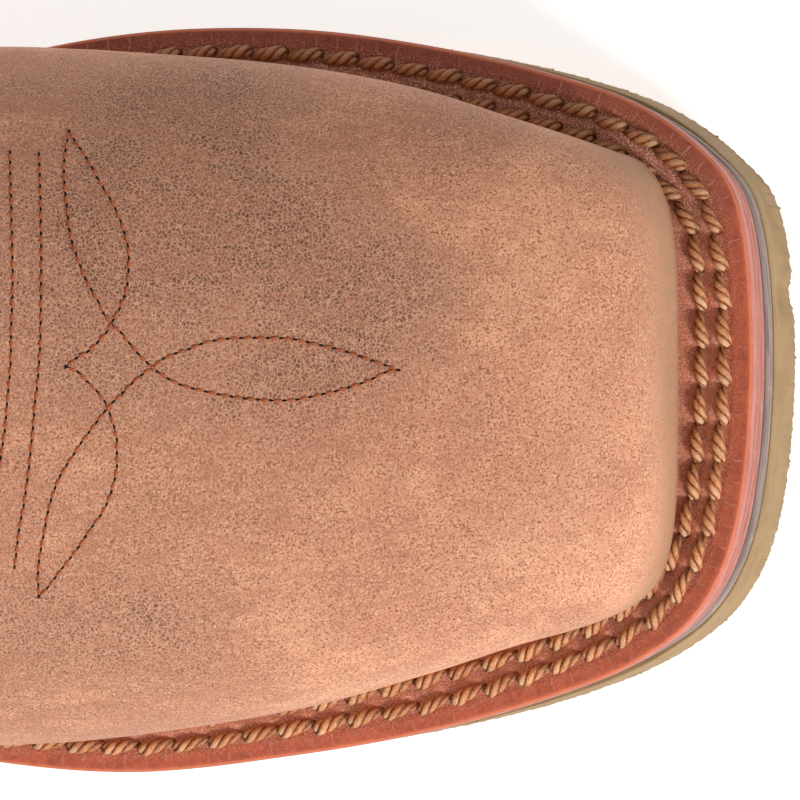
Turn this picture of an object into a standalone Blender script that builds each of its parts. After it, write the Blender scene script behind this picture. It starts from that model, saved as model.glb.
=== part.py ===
# A western work boot for the right foot: broad square toe, pull-on shaft, welted lugged sole
# and a stacked heel.
# Units are metres. +X runs to the toe, +Y to the inner (medial) side and +Z up. The origin is on
# the floor, below the middle of the sole's outline.

import math

import bmesh
import bpy
import mathutils
import numpy as np

MM = 0.001

# Driving sizes
SOLE_LENGTH = 305 * MM  # outsole, from the heel's back to the toe tip
BALL_WIDTH = 115.8 * MM  # sole at the ball of the foot
HEEL_LIFT = 25.5 * MM  # heel stack and top lift, below the outsole
TOE_SPRING = 13 * MM  # rise of the toe tip off the floor
INSTEP_RISE = 156 * MM  # sole to the bend where the foot turns into the shaft
SHAFT_RISE = 266 * MM  # heel seat to the collar, at the front and back
SHAFT_WIDTH = 93.6 * MM  # across the collar
SCALLOP = 13 * MM  # rise of the collar at the sides
WALL = 2.4 * MM  # shaft leather and its lining
OVERLAY = 1.3 * MM  # vamp and counter leather, over the shaft
CUT_CLEARANCE = 20 * MM  # how far the cutting blocks reach past the boot
GAP = 0.3 * MM  # between pieces that meet

# The sole's layers, from the top
WELT_THICKNESS = 3.5 * MM
MIDSOLE_THICKNESS = 4.2 * MM
SLIP_THICKNESS = 2.3 * MM
SLAB_THICKNESS = 5.5 * MM
LUG_DEPTH = 3.5 * MM
INSOLE_THICKNESS = 4 * MM
TOP_LIFT_THICKNESS = 6 * MM
MIDSOLE_INSET = 0.4 * MM  # from the welt's and outsole's outline
FOAM_INSET = 1 * MM
WELT_FLARE = 0.4 * MM  # how far the welt's top edge stands out over its lower one, at the toe

# Tread
LUG_LENGTH = 12 * MM
LUG_SPACE = 5 * MM
RIM_LUG_WIDTH = 11 * MM
CHANNEL = 4 * MM  # between the rim lugs and those inside them
LUG_ROOT = 1 * MM  # how far a middle lug reaches into the slab
TOE_RIM = 88 * MM  # the rim runs unbroken this far round each side of the toe tip
CHEVRON = 6 * MM

# Heel
HEEL_BREAST = 72 * MM  # from the heel's back to its front face
BREAST_HOLLOW = 5 * MM
HEEL_TAPER = 1.5 * MM

# Stations along the sole, from the heel's back
SEAT_END = HEEL_BREAST + 2 * MM
TREAD_START = 168 * MM
SPRING_START = 222 * MM
FLARE_START = 255 * MM

# Pull straps
STRAP_WIDTH = 26 * MM
STRAP_THICKNESS = 1.8 * MM
STRAP_DROP = 52 * MM  # below the collar, outside
STRAP_TUCK = 34 * MM  # below the collar, inside
STRAP_LOOP = 14 * MM  # height of the finger loop over the collar
STRAP_BULGE = 1.1  # how far the loop swells beyond its legs, as a share of their half distance
PIPING_WIDTH = 6 * MM
PIPING_RISE = 1.6 * MM
BINDING_DROP = 9 * MM
BINDING_THICKNESS = 1 * MM

# Plan of the sole. Columns: station as a share of SOLE_LENGTH, then the inner and the outer
# edge as shares of BALL_WIDTH from the middle line. The toe and heel points close it.
SOLE_PLAN = [
    (0.990, 0.268, 0.181),
    (0.970, 0.331, 0.280),
    (0.938, 0.387, 0.342),
    (0.892, 0.429, 0.391),
    (0.826, 0.470, 0.440),
    (0.754, 0.495, 0.475),
    (0.669, 0.492, 0.500),
    (0.584, 0.449, 0.484),
    (0.492, 0.350, 0.436),
    (0.400, 0.289, 0.389),
    (0.311, 0.298, 0.363),
    (0.216, 0.335, 0.347),
    (0.131, 0.338, 0.342),
    (0.059, 0.293, 0.293),
    (0.016, 0.172, 0.172),
]
TOE_TIP_SIDE = 0.069  # the toe tip lies this share of BALL_WIDTH to the inner side

# From the welt's outline in to the feather edge, where the shaft leather meets the welt.
# Columns: station as a share of SOLE_LENGTH, margin on the inner and on the outer side.
WELT_MARGIN = [
    (0.00, 5.0 * MM, 5.0 * MM),
    (0.25, 5.4 * MM, 5.4 * MM),
    (0.42, 6.5 * MM, 6.5 * MM),
    (0.60, 10.0 * MM, 10.0 * MM),
    (0.75, 10.4 * MM, 10.8 * MM),
    (0.88, 11.4 * MM, 12.6 * MM),
    (0.96, 12.8 * MM, 13.4 * MM),
    (1.00, 13.2 * MM, 13.2 * MM),
]

# Sections of the foot part, toe to heel. Each runs from the feather edge of one side, over the
# top point, to the other side. Columns: place of its ends round the feather edge (0 at the toe,
# 1 at the heel's back), station of the top point (share of SOLE_LENGTH), rise of the top point
# (share of INSTEP_RISE above the sole), level of the widest place (share of the section's
# height), inner and outer half width there (shares of BALL_WIDTH), fullness of the arch.
FOOT_SECTIONS = [
    (0.118, 0.9560, 0.0290, 0.30, 0.3200, 0.2540, 3.8),
    (0.135, 0.9590, 0.0750, 0.40, 0.3120, 0.2520, 3.8),
    (0.160, 0.9618, 0.1320, 0.38, 0.3190, 0.2690, 3.7),
    (0.188, 0.9545, 0.1900, 0.34, 0.3370, 0.2890, 3.5),
    (0.222, 0.9330, 0.2400, 0.32, 0.3650, 0.3130, 3.2),
    (0.262, 0.8980, 0.2850, 0.30, 0.4020, 0.3510, 2.95),
    (0.307, 0.8500, 0.3310, 0.30, 0.4270, 0.3900, 2.75),
    (0.355, 0.7920, 0.3790, 0.30, 0.4410, 0.4180, 2.6),
    (0.407, 0.7280, 0.4260, 0.30, 0.4510, 0.4380, 2.45),
    (0.463, 0.6620, 0.4740, 0.30, 0.4500, 0.4420, 2.35),
    (0.524, 0.6000, 0.5310, 0.31, 0.4300, 0.4280, 2.3),
    (0.590, 0.5440, 0.6020, 0.33, 0.3930, 0.4040, 2.25),
    (0.660, 0.4980, 0.6820, 0.36, 0.3580, 0.3770, 2.2),
    (0.735, 0.4690, 0.7670, 0.40, 0.3370, 0.3540, 2.2),
    (0.810, 0.4520, 0.8420, 0.43, 0.3240, 0.3390, 2.2),
    (0.872, 0.4460, 0.9040, 0.45, 0.3190, 0.3320, 2.2),
    (0.930, 0.4430, 0.9550, 0.47, 0.3180, 0.3290, 2.2),
    (0.972, 0.4420, 0.9830, 0.48, 0.3180, 0.3280, 2.2),
    (1.000, 0.4410, 1.0000, 0.48, 0.3180, 0.3280, 2.2),
]

# Sections of the shaft, heel to collar. Columns: back point (share of SOLE_LENGTH, share of
# SHAFT_RISE above the heel seat), front point (the same two), inner and outer half width
# (shares of SHAFT_WIDTH).
SHAFT_SECTIONS = [
    (0.0130, 0.060, 0.4405, 0.555, 0.396, 0.406),
    (0.0170, 0.150, 0.4415, 0.612, 0.393, 0.402),
    (0.0290, 0.252, 0.4445, 0.672, 0.391, 0.399),
    (0.0375, 0.358, 0.4490, 0.734, 0.395, 0.401),
    (0.0370, 0.470, 0.4560, 0.794, 0.409, 0.412),
    (0.0310, 0.588, 0.4655, 0.850, 0.430, 0.430),
    (0.0230, 0.706, 0.4755, 0.900, 0.455, 0.455),
    (0.0160, 0.820, 0.4850, 0.944, 0.478, 0.478),
    (0.0115, 0.920, 0.4930, 0.976, 0.494, 0.494),
    (0.0100, 1.000, 0.4980, 1.000, 0.500, 0.500),
]
SHAFT_LEVEL = 0.49
SHAFT_FULLNESS = 2.2
LOWER_FULLNESS = 2.35
CREST_SIDE = 0.036  # the vamp's crest lies this share of BALL_WIDTH to the inner side
CREST_FADE = (0.44, 0.62)  # stations between which the crest comes back to the middle
SCALLOP_SECTIONS = 3.0  # sections over which the collar's scallop fades

# Mesh density
PLAIN_STEPS = 26  # of the outsole's rim behind the tread
HEEL_STEPS = 22  # round each side of the heel
CROSS_STEPS = 4  # across a strap
SECTION_STEPS = 13  # from the crest to the feather edge
TOE_SECTIONS, ARCH_SECTIONS = 4, (8, 17)  # sections with two rows to each

# Side view of the seams, from the heel's back and the floor. Columns: station as a share of
# SOLE_LENGTH, height as a share of SHAFT_RISE.
VAMP_EDGE = [
    (0.238, 0.393),
    (0.262, 0.395),
    (0.305, 0.402),
    (0.345, 0.425),
    (0.385, 0.480),
    (0.412, 0.560),
    (0.428, 0.640),
    (0.452, 0.668),
]
COUNTER_EDGE = [
    (0.236, 0.393),
    (0.214, 0.395),
    (0.150, 0.445),
    (0.090, 0.505),
    (0.040, 0.545),
]

STACK_ABOVE_SLAB = MIDSOLE_THICKNESS + GAP + SLIP_THICKNESS + GAP
OUTSOLE_TOP = -STACK_ABOVE_SLAB
SLAB_BOTTOM = OUTSOLE_TOP - SLAB_THICKNESS
LUG_BOTTOM = SLAB_BOTTOM - LUG_DEPTH
WELT_TOP = GAP + WELT_THICKNESS
FEATHER_LEVEL = WELT_TOP + GAP
FOREFOOT_LEVEL = -LUG_BOTTOM  # the midsole's top over the floor, at the ball
SEAT_LEVEL = HEEL_LIFT - SLAB_BOTTOM  # and over the heel

COLORS = {
    "leather": (0.42, 0.24, 0.16),
    "welt": (0.36, 0.11, 0.06),
    "midsole": (0.58, 0.27, 0.20),
    "foam": (0.28, 0.23, 0.21),
    "outsole": (0.46, 0.35, 0.19),
    "insole": (0.42, 0.33, 0.22),
    "heel": (0.23, 0.13, 0.08),
}
ROUGHNESS = {
    "leather": 0.75,
    "welt": 0.4,
    "midsole": 0.6,
    "foam": 0.8,
    "outsole": 0.85,
    "insole": 0.8,
    "heel": 0.6,
}


def smooth(knots, values, at):
    """The curve through values at the knots, as cubic pieces whose slope at a knot is the
    weighted mean of the slopes on both sides."""
    knots, values, at = (np.asarray(a, float) for a in (knots, values, at))
    shape = (-1,) + (1,) * (values.ndim - 1)
    steps = np.diff(knots).reshape(shape)
    slopes = np.diff(values, axis=0) / steps
    inner = (steps[1:] * slopes[:-1] + steps[:-1] * slopes[1:]) / (steps[1:] + steps[:-1])
    tangents = np.concatenate([slopes[:1], inner, slopes[-1:]])
    k = np.clip(np.searchsorted(knots, at, side="right") - 1, 0, len(knots) - 2)
    width = (knots[k + 1] - knots[k]).reshape(shape)
    u = (at - knots[k]).reshape(shape) / width
    return (
        values[k] * (2 * u**3 - 3 * u**2 + 1)
        + values[k + 1] * (3 * u**2 - 2 * u**3)
        + tangents[k] * width * (u**3 - 2 * u**2 + u)
        + tangents[k + 1] * width * (u**3 - u**2)
    )


def ease(u):
    u = np.clip(u, 0, 1)
    return u * u * (3 - 2 * u)


def sole_line(x):
    """Height of the midsole's top over the floor at station x."""
    x = np.asarray(x, float)
    seat = SEAT_LEVEL - FOREFOOT_LEVEL
    fall = ease((x - SEAT_END) / (TREAD_START - SEAT_END))
    spring = np.clip((x - SPRING_START) / (SOLE_LENGTH - SPRING_START), 0, None) ** 2
    return FOREFOOT_LEVEL + seat * (1 - fall) + TOE_SPRING * spring


def sole_slope(x):
    step = 0.01 * MM
    return np.arctan((sole_line(x + step) - sole_line(x - step)) / (2 * step))


def on_sole(plan, level):
    """Points of the sole: plan holds stations and offsets, and level is measured square to
    the midsole's top."""
    plan = np.asarray(plan, float)
    angle = sole_slope(plan[:, 0])
    level = np.broadcast_to(np.asarray(level, float), angle.shape)
    return np.stack(
        [
            plan[:, 0] - level * np.sin(angle),
            plan[:, 1],
            sole_line(plan[:, 0]) + level * np.cos(angle),
        ],
        axis=1,
    )


def along(points):
    """Shares of the length of a line of points, from 0 to 1."""
    steps = np.linalg.norm(np.diff(points, axis=0), axis=1)
    total = np.concatenate([[0.0], np.cumsum(steps)])
    return total / total[-1]


def at_shares(points, shares):
    known = along(points)
    columns = [np.interp(shares, known, points[:, c]) for c in range(points.shape[1])]
    return np.stack(columns, axis=1)


def sole_sides():
    """The sole's plan as two lines of points, inner and outer, from the toe tip to the
    heel's back."""
    rows = np.array(SOLE_PLAN)
    stations = rows[:, 0] * SOLE_LENGTH
    inner = np.stack([stations, rows[:, 1] * BALL_WIDTH], axis=1)
    outer = np.stack([stations, -rows[:, 2] * BALL_WIDTH], axis=1)
    toe = np.array([[SOLE_LENGTH, TOE_TIP_SIDE * BALL_WIDTH]])
    heel = np.array([[0.0, 0.0]])
    loop = np.concatenate([toe, inner, heel, outer[::-1]])
    around = np.concatenate([loop[-2:], loop, loop[:3]])
    knots = np.concatenate(
        [[0.0], np.cumsum(np.linalg.norm(np.diff(around, axis=0), axis=1) ** 0.5)]
    )
    steps = 16
    first, half = 2, len(inner) + 1
    marks = [
        np.linspace(knots[k], knots[k + 1], steps, endpoint=False)
        for k in range(first, first + 2 * half)
    ]
    curve = smooth(knots, around, np.concatenate(marks))
    middle = half * steps
    back = np.concatenate([curve[middle:], curve[:1]])
    return {"inner": curve[: middle + 1], "outer": back[::-1]}


SOLE = sole_sides()


def inset(sides, width):
    """The plan moved inwards by width, which may change with the station. Corners are
    mitred, so that each edge moves by the full width."""
    loop = np.concatenate([sides["inner"], sides["outer"][::-1][1:-1]])
    run = np.roll(loop, -1, axis=0) - loop
    run /= np.linalg.norm(run, axis=1)[:, None]
    normal = np.stack([run[:, 1], -run[:, 0]], axis=1)
    bisector = normal + np.roll(normal, 1, axis=0)
    bisector *= 2 / np.sum(bisector**2, axis=1)[:, None]
    centre = loop.mean(axis=0)
    bisector *= np.sign(np.sum(bisector * (centre - loop), axis=1).sum())
    count = len(sides["inner"])
    on_inner = np.arange(len(loop)) < count
    step = width(loop[:, 0], on_inner) if callable(width) else np.full(len(loop), width)
    new = loop + bisector * step[:, None]
    outer = np.concatenate([new[:1], new[count - 1 :][::-1]])
    return {"inner": new[:count], "outer": outer}


def welt_margin(station, on_inner):
    table = np.array(WELT_MARGIN)
    inner, outer = (np.interp(station, table[:, 0] * SOLE_LENGTH, table[:, c]) for c in (1, 2))
    return np.where(on_inner, inner, outer)


FEATHER = inset(SOLE, welt_margin)


def welt_flare(station, on_inner):
    """The welt's top edge leans out at the toe and stands upright along the sides."""
    reach = (station - FLARE_START) / (SOLE_LENGTH - FLARE_START)
    return -WELT_FLARE * ease(reach) ** 2


def rows_to_mesh(name, points, quads):
    """A new object from numpy points and lists of corner numbers. Corners at one place are
    made one."""
    mesh = bpy.data.meshes.new(name)
    mesh.from_pydata([tuple(p) for p in points], [], quads)
    tidy = bmesh.new()
    tidy.from_mesh(mesh)
    bmesh.ops.remove_doubles(tidy, verts=tidy.verts, dist=0.001 * MM)
    loose = [edge for edge in tidy.edges if not edge.link_faces]
    bmesh.ops.delete(tidy, geom=loose, context="EDGES")
    bmesh.ops.recalc_face_normals(tidy, faces=tidy.faces)
    centre = np.mean(points, axis=0)
    outward = sum(
        face.normal.dot(face.calc_center_median() - mathutils.Vector(centre)) * face.calc_area()
        for face in tidy.faces
    )
    if outward < 0:
        bmesh.ops.reverse_faces(tidy, faces=tidy.faces)
    tidy.to_mesh(mesh)
    tidy.free()
    return bpy.data.objects.new(name, mesh)


def origin_shift():
    """Moves the heel's back from the first station to its place in the finished frame."""
    low = min(on_sole(side, LUG_BOTTOM)[:, 0].min() for side in SOLE.values())
    high = max(on_sole(side, LUG_BOTTOM)[:, 0].max() for side in SOLE.values())
    left = SOLE["inner"][:, 1].max()
    right = SOLE["outer"][:, 1].min()
    return np.array([-(low + high) / 2, -(left + right) / 2, 0.0])


SHIFT = origin_shift()


def ladder(inner, outer):
    """Corner numbers of the quads between two lines of points of the same length."""
    return [(inner[k], inner[k + 1], outer[k + 1], outer[k]) for k in range(len(inner) - 1)]


def sampled(sides, shares):
    """The plan with a point at each share of its sides. Pieces that lie on each other have
    their points at the same shares, so that their facets match."""
    return {side: at_shares(line, shares[side]) for side, line in sides.items()}


def layer(name, sides, top, bottom, lower=None):
    """A slab of the sole between two levels. lower gives it another plan at the bottom."""
    points = []
    numbers = {}
    for level, plan in ((top, sides), (bottom, lower or sides)):
        for side in ("inner", "outer"):
            line = on_sole(plan[side], level)
            numbers[level, side] = range(len(points), len(points) + len(line))
            points.extend(line + SHIFT)
    quads = ladder(numbers[top, "inner"], numbers[top, "outer"])
    quads += ladder(numbers[bottom, "inner"], numbers[bottom, "outer"])
    for side in ("inner", "outer"):
        quads += ladder(numbers[top, side], numbers[bottom, side])
    first = [numbers[level, side][0] for level in (top, bottom) for side in ("inner", "outer")]
    quads.append((first[0], first[1], first[3], first[2]))
    return rows_to_mesh(name, points, quads)


def lug_shares(length, tread):
    """Places along a side, from the toe tip, and whether the rim reaches the ground after
    each. It does so round the toe, then as lugs, and behind the tread the rim is plain."""
    around_toe = round(TOE_RIM / LUG_LENGTH)
    places = list(np.linspace(0, TOE_RIM, around_toe * 2 + 1)[:-1])
    raised = [True] * len(places)
    place = TOE_RIM
    while place + LUG_SPACE + LUG_LENGTH < tread:
        for width, lug in ((LUG_SPACE, False), (LUG_LENGTH / 2, True), (LUG_LENGTH / 2, True)):
            places.append(place)
            raised.append(lug)
            place += width
    places.extend(np.linspace(place, length, PLAIN_STEPS + 1))
    raised.extend([False] * PLAIN_STEPS)
    return np.array(places) / length, raised


def side_length(side):
    return np.linalg.norm(np.diff(side, axis=0), axis=1).sum()


def treaded_layer(name, sides, shares, raised, top, groove, lug, rim):
    """A slab whose rim carries lugs: raised says for each stretch between shares whether it
    reaches down to the lug level or only to the groove level."""
    points, grid = [], {}
    plans = {"edge": sides, "rim": inset(sides, rim)}
    levels = (("edge", top), ("edge", groove), ("edge", lug), ("rim", groove), ("rim", lug))
    for side in ("inner", "outer"):
        for plan, level in levels:
            line = on_sole(at_shares(plans[plan][side], shares), level)
            grid[side, plan, level] = range(len(points), len(points) + len(line))
            points.extend(line + SHIFT)
    quads = []
    for plan, level in (("edge", top), ("rim", groove)):
        quads += ladder(grid["inner", plan, level], grid["outer", plan, level])
    for side in ("inner", "outer"):
        upper, low, foot, ring, tip = (grid[side, plan, level] for plan, level in levels)
        for k in range(len(shares) - 1):
            quads.append((upper[k], upper[k + 1], low[k + 1], low[k]))
            if raised[k]:
                quads.append((low[k], low[k + 1], foot[k + 1], foot[k]))
                quads.append((foot[k], foot[k + 1], tip[k + 1], tip[k]))
                quads.append((tip[k], tip[k + 1], ring[k + 1], ring[k]))
            else:
                quads.append((low[k], low[k + 1], ring[k + 1], ring[k]))
            if k and raised[k] != raised[k - 1]:
                quads.append((low[k], foot[k], tip[k], ring[k]))
    return rows_to_mesh(name, points, quads)


def half_widths(sides, station):
    """Offsets of the inner and outer edge at a station."""
    found = []
    for side in ("inner", "outer"):
        line = sides[side][::-1]
        found.append(np.interp(station, line[:, 0], line[:, 1]))
    return found


def middle_lugs(name):
    """The chevron bars inside the rim lugs, as one mesh of separate bars."""
    room = inset(SOLE, RIM_LUG_WIDTH + CHANNEL)
    points, faces = [], []
    pitch = LUG_LENGTH + LUG_SPACE
    last = SOLE_LENGTH - RIM_LUG_WIDTH - CHANNEL - LUG_LENGTH - CHEVRON - WELT_THICKNESS
    station = TREAD_START - LUG_LENGTH / 2
    while station < last:
        inner, outer = half_widths(room, station)
        ahead_inner, ahead_outer = half_widths(room, station + LUG_LENGTH)
        inner, outer = min(inner, ahead_inner), max(outer, ahead_outer)
        middle = (inner + outer) / 2
        plan = [
            (station, inner),
            (station + LUG_LENGTH, inner),
            (station + LUG_LENGTH + CHEVRON, middle),
            (station + LUG_LENGTH, outer),
            (station, outer),
            (station + CHEVRON, middle),
        ]
        first = len(points)
        for level in (SLAB_BOTTOM + LUG_ROOT, LUG_BOTTOM):
            points.extend(on_sole(plan, level) + SHIFT)
        for base in (first, first + 6):
            faces.append((base, base + 1, base + 2, base + 5))
            faces.append((base + 5, base + 2, base + 3, base + 4))
        for k in range(6):
            n = (k + 1) % 6
            faces.append((first + k, first + n, first + 6 + n, first + 6 + k))
        station += pitch
    return rows_to_mesh(name, points, faces)


def heel_sides(shrink):
    """The heel's plan: the sole's back, cut at the breast."""
    plan = inset(SOLE, shrink) if shrink else SOLE
    cut = {}
    for side, line in plan.items():
        kept = line[line[:, 0] < HEEL_BREAST]
        y = np.interp(HEEL_BREAST, line[::-1][:, 0], line[::-1][:, 1])
        cut[side] = np.concatenate([[[HEEL_BREAST, y]], kept])
    return cut


def section_values(rows):
    """The sections' values at rows between them, with the heel's back point beyond the foot."""
    foot, shaft = np.array(FOOT_SECTIONS), np.array(SHAFT_SECTIONS)
    count = len(foot)
    top_x = np.concatenate([foot[:, 1], shaft[:, 2]]) * SOLE_LENGTH
    top_z = np.concatenate(
        [
            sole_line(foot[:, 1] * SOLE_LENGTH) + foot[:, 2] * INSTEP_RISE,
            SEAT_LEVEL + shaft[:, 3] * SHAFT_RISE,
        ]
    )
    heel = on_sole(FEATHER["inner"][-1:], FEATHER_LEVEL)[0]
    back_x = np.concatenate([np.full(count, heel[0]), shaft[:, 0] * SOLE_LENGTH])
    back_z = np.concatenate([np.full(count, heel[2]), SEAT_LEVEL + shaft[:, 1] * SHAFT_RISE])
    widths = [
        np.concatenate([foot[:, 4 + k] * BALL_WIDTH, shaft[:, 4 + k] * SHAFT_WIDTH])
        for k in (0, 1)
    ]
    ends = np.concatenate([foot[:, 0], np.ones(len(shaft))])
    level = np.concatenate([foot[:, 3], np.full(len(shaft), SHAFT_LEVEL)])
    fullness = np.concatenate([foot[:, 6], np.full(len(shaft), SHAFT_FULLNESS)])
    table = np.stack([ends, top_x, top_z, back_x, back_z, level, *widths, fullness], axis=1)
    values = smooth(np.arange(len(table)), table, rows)
    values[:, 0] = np.minimum(values[:, 0], 1)
    values[rows <= count - 1, 3] = heel[0]
    values[rows <= count - 1, 4] = heel[2]
    return values


def crest_side(x):
    start, stop = (share * SOLE_LENGTH for share in CREST_FADE)
    return CREST_SIDE * BALL_WIDTH * ease((x - start) / (stop - start))


def section_side(value, side, rise):
    """One side of a section as a line of points, from the crest to its end. Above the widest
    place it is a superellipse, and below it the wall draws in to the feather edge."""
    end_share, top_x, top_z, back_x, back_z, level, inner, outer, fullness = value
    sign = 1 if side == "inner" else -1
    width = inner if side == "inner" else outer
    plan = at_shares(FEATHER[side], [end_share])
    end = on_sole(plan, FEATHER_LEVEL)[0]
    if end_share >= 1:
        end = np.array([back_x, 0.0, back_z])
    crest = crest_side(top_x)
    reach = abs(end[1])
    turn = np.linspace(0, math.pi / 2, 60)
    power = 2 / fullness
    high = level + (1 - level) * np.cos(turn) ** power
    high_y = sign * crest + (width - sign * crest) * np.sin(turn) ** power
    roundness = 1 / LOWER_FULLNESS
    squared = roundness + (1 - roundness) * (reach / width) ** 2
    down = np.sin(turn[1:])
    low = level * (1 - down)
    low_y = reach + (width - reach) * (1 - down**LOWER_FULLNESS) ** squared
    share = np.concatenate([high, low])
    y = sign * np.concatenate([high_y, low_y])
    x = end[0] + (top_x - end[0]) * share
    z = end[2] + (top_z - end[2]) * share
    z = z + rise * np.sin(math.pi * np.clip(share, 0, 1)) ** 2
    line = np.stack([x, y, z], axis=1)
    return at_shares(line, np.linspace(0, 1, SECTION_STEPS + 1))


def upper_rows():
    """Row numbers at which the upper's skin is worked out, with more where it bends most."""
    last = len(FOOT_SECTIONS) + len(SHAFT_SECTIONS) - 1
    start, stop = ARCH_SECTIONS
    rows = []
    for k in range(last):
        rows.append(k)
        if 0 < k < TOE_SECTIONS or start <= k < stop:
            rows.append(k + 0.5)
    return np.array([*rows, last], float)


def upper_grid():
    """The upper's outer skin as a grid of points: rows from the toe to the collar, columns
    from the inner feather edge over the crest to the outer one."""
    rows = upper_rows()
    last = rows[-1]
    toe = [
        on_sole(at_shares(FEATHER[side], np.linspace(0, FOOT_SECTIONS[0][0], SECTION_STEPS + 1)),
                FEATHER_LEVEL)
        for side in ("inner", "outer")
    ]
    grid = [np.concatenate([toe[0][::-1], toe[1][1:]])]
    for row, value in list(zip(rows, section_values(rows)))[1:]:
        rise = SCALLOP * ease(1 - (last - row) / SCALLOP_SECTIONS)
        inner = section_side(value, "inner", rise)
        outer = section_side(value, "outer", rise)
        grid.append(np.concatenate([inner[::-1], outer[1:]]))
    return rows, np.array(grid)


ROWS, SKIN = upper_grid()
CLOSED = int(np.argmax(ROWS >= len(FOOT_SECTIONS) - 1))  # first row that meets itself behind


def skin_sheet(name, skirt):
    """The upper's skin as an open sheet of triangles, so that every piece cut from it has
    the same facets. A skirt carries it straight down to the midsole, inside the welt."""
    count, width = SKIN.shape[:2]
    points = list(SKIN.reshape(-1, 3) + SHIFT)
    quads = []
    for i in range(count - 1):
        for j in range(width - 1):
            k = i * width + j
            quads.append((k, k + 1, k + width + 1))
            quads.append((k, k + width + 1, k + width))
    if skirt:
        edge = feather_numbers()
        drop = FEATHER_LEVEL - GAP
        base = len(points)
        for number in edge:
            x = points[number][0] - SHIFT[0]
            angle = float(sole_slope(x))
            points.append(points[number] - drop * np.array([-math.sin(angle), 0, math.cos(angle)]))
        for k in range(len(edge)):
            n = (k + 1) % len(edge)
            quads.append((edge[k], edge[n], base + n, base + k))
    return rows_to_mesh(name, points, quads)


def feather_numbers():
    """The feather edge as corner numbers of the skin, once round from the toe's inner end."""
    width = SKIN.shape[1]
    toe = list(range(width))
    outer = [i * width + width - 1 for i in range(1, CLOSED + 1)]
    inner = [i * width for i in range(CLOSED - 1, 0, -1)]
    return toe + outer + inner


def feather_sides():
    """The upper's own edge in plan, inner and outer, from the toe to the heel's back."""
    loop = unbend(SKIN.reshape(-1, 3)[feather_numbers()])
    width = SKIN.shape[1]
    middle = width // 2
    heel = width - 1 + CLOSED
    inner = np.concatenate([loop[: middle + 1][::-1], loop[heel:][::-1]])
    return {"inner": inner, "outer": loop[middle : heel + 1]}


def unbend(points):
    """Stations and offsets of points that lie at the feather level."""
    station = points[:, 0].copy()
    for _ in range(8):
        station = points[:, 0] + FEATHER_LEVEL * np.sin(sole_slope(station))
    return np.stack([station, points[:, 1]], axis=1)


def thicken(obj, thickness, offset):
    solid = obj.modifiers.new("Wall", "SOLIDIFY")
    solid.thickness = thickness
    solid.offset = offset
    solid.use_quality_normals = True
    return obj


def baked(obj, name):
    """The object with its modifiers applied, in an object of its own. Booleans between
    curved sheets can leave crumbs of a few flat faces: only the largest body is kept."""
    graph = bpy.context.evaluated_depsgraph_get()
    mesh = bpy.data.meshes.new_from_object(obj.evaluated_get(graph))
    solid = bmesh.new()
    solid.from_mesh(mesh)
    bodies = []
    left = set(solid.verts)
    while left:
        body, front = set(), [left.pop()]
        while front:
            corner = front.pop()
            body.add(corner)
            near = {edge.other_vert(corner) for edge in corner.link_edges} & left
            left -= near
            front.extend(near)
        bodies.append(body)
    largest = max(bodies, key=len)
    crumbs = [corner for corner in solid.verts if corner not in largest]
    bmesh.ops.delete(solid, geom=crumbs, context="VERTS")
    solid.to_mesh(mesh)
    solid.free()
    return bpy.data.objects.new(name, mesh)


def profile_block(name, edge, closing, depth=None):
    """A block whose side view is the seam's edge, in the shares of its table, closed by the
    given corners in metres. It is wider than the boot, or reaches between two offsets."""
    outline = [(x * SOLE_LENGTH, z * SHAFT_RISE) for x, z in edge] + closing
    points = [(x, y, z) for y in depth or (-BALL_WIDTH, BALL_WIDTH) for x, z in outline]
    count = len(outline)
    faces = [tuple(range(count)), tuple(range(2 * count - 1, count - 1, -1))]
    for k in range(count):
        n = (k + 1) % count
        faces.append((k, n, count + n, count + k))
    return rows_to_mesh(name, np.array(points) + SHIFT, faces)


def combine(obj, cutter, operation):
    cut = obj.modifiers.new(operation.title(), "BOOLEAN")
    cut.operation = operation
    cut.object = cutter
    cut.solver = "EXACT"


def smooth_edge(edge):
    """The seam's side view with points between those of its table."""
    table = np.array(edge)
    steps = 2 * len(table)
    return smooth(np.arange(len(table)), table, np.linspace(0, len(table) - 1, steps)).tolist()


def make_upper(cutters):
    """The shaft and its lining, with the vamp as a step in the wall."""
    shaft = thicken(skin_sheet("upper_shell", True), WALL, -1)
    link(shaft, cutters)
    inside = 0.6 * MM
    vamp = skin_sheet("vamp_shell", False)
    thicken(vamp, OVERLAY + inside, (OVERLAY - inside) / (OVERLAY + inside))
    link(vamp, cutters)
    far = 1.2 * SOLE_LENGTH
    low = -CUT_CLEARANCE
    edge = smooth_edge(VAMP_EDGE)
    top = edge[-1][1] * SHAFT_RISE
    seam = edge[0][0] * SOLE_LENGTH
    block = profile_block("vamp_block", edge, [(far, top), (far, low), (seam, low)])
    link(block, cutters)
    combine(vamp, block, "INTERSECT")
    combine(vamp, cutters["under_block"], "DIFFERENCE")
    combine(shaft, vamp, "UNION")
    return baked(shaft, "upper")


def overlay(name, height, edge, closing, cutters, depth=None):
    """A leather piece that lies on the shaft: the skin thickened, from just clear of the
    shaft, and cut to its side view."""
    shell = skin_sheet(name + "_shell", False)
    thicken(shell, height, 1 + 2 * GAP / height)
    link(shell, cutters)
    block = link(profile_block(name + "_block", edge, closing, depth), cutters)
    combine(shell, block, "INTERSECT")
    combine(shell, cutters["under_block"], "DIFFERENCE")
    return baked(shell, name)


def make_counter(cutters):
    """The heel's outer leather, over the shaft and behind the vamp."""
    edge = smooth_edge(COUNTER_EDGE)
    back = low = -CUT_CLEARANCE
    seam = edge[0][0] * SOLE_LENGTH
    closing = [(back, edge[-1][1] * SHAFT_RISE), (back, low), (seam, low)]
    return overlay("counter", OVERLAY, edge, closing, cutters)


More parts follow.
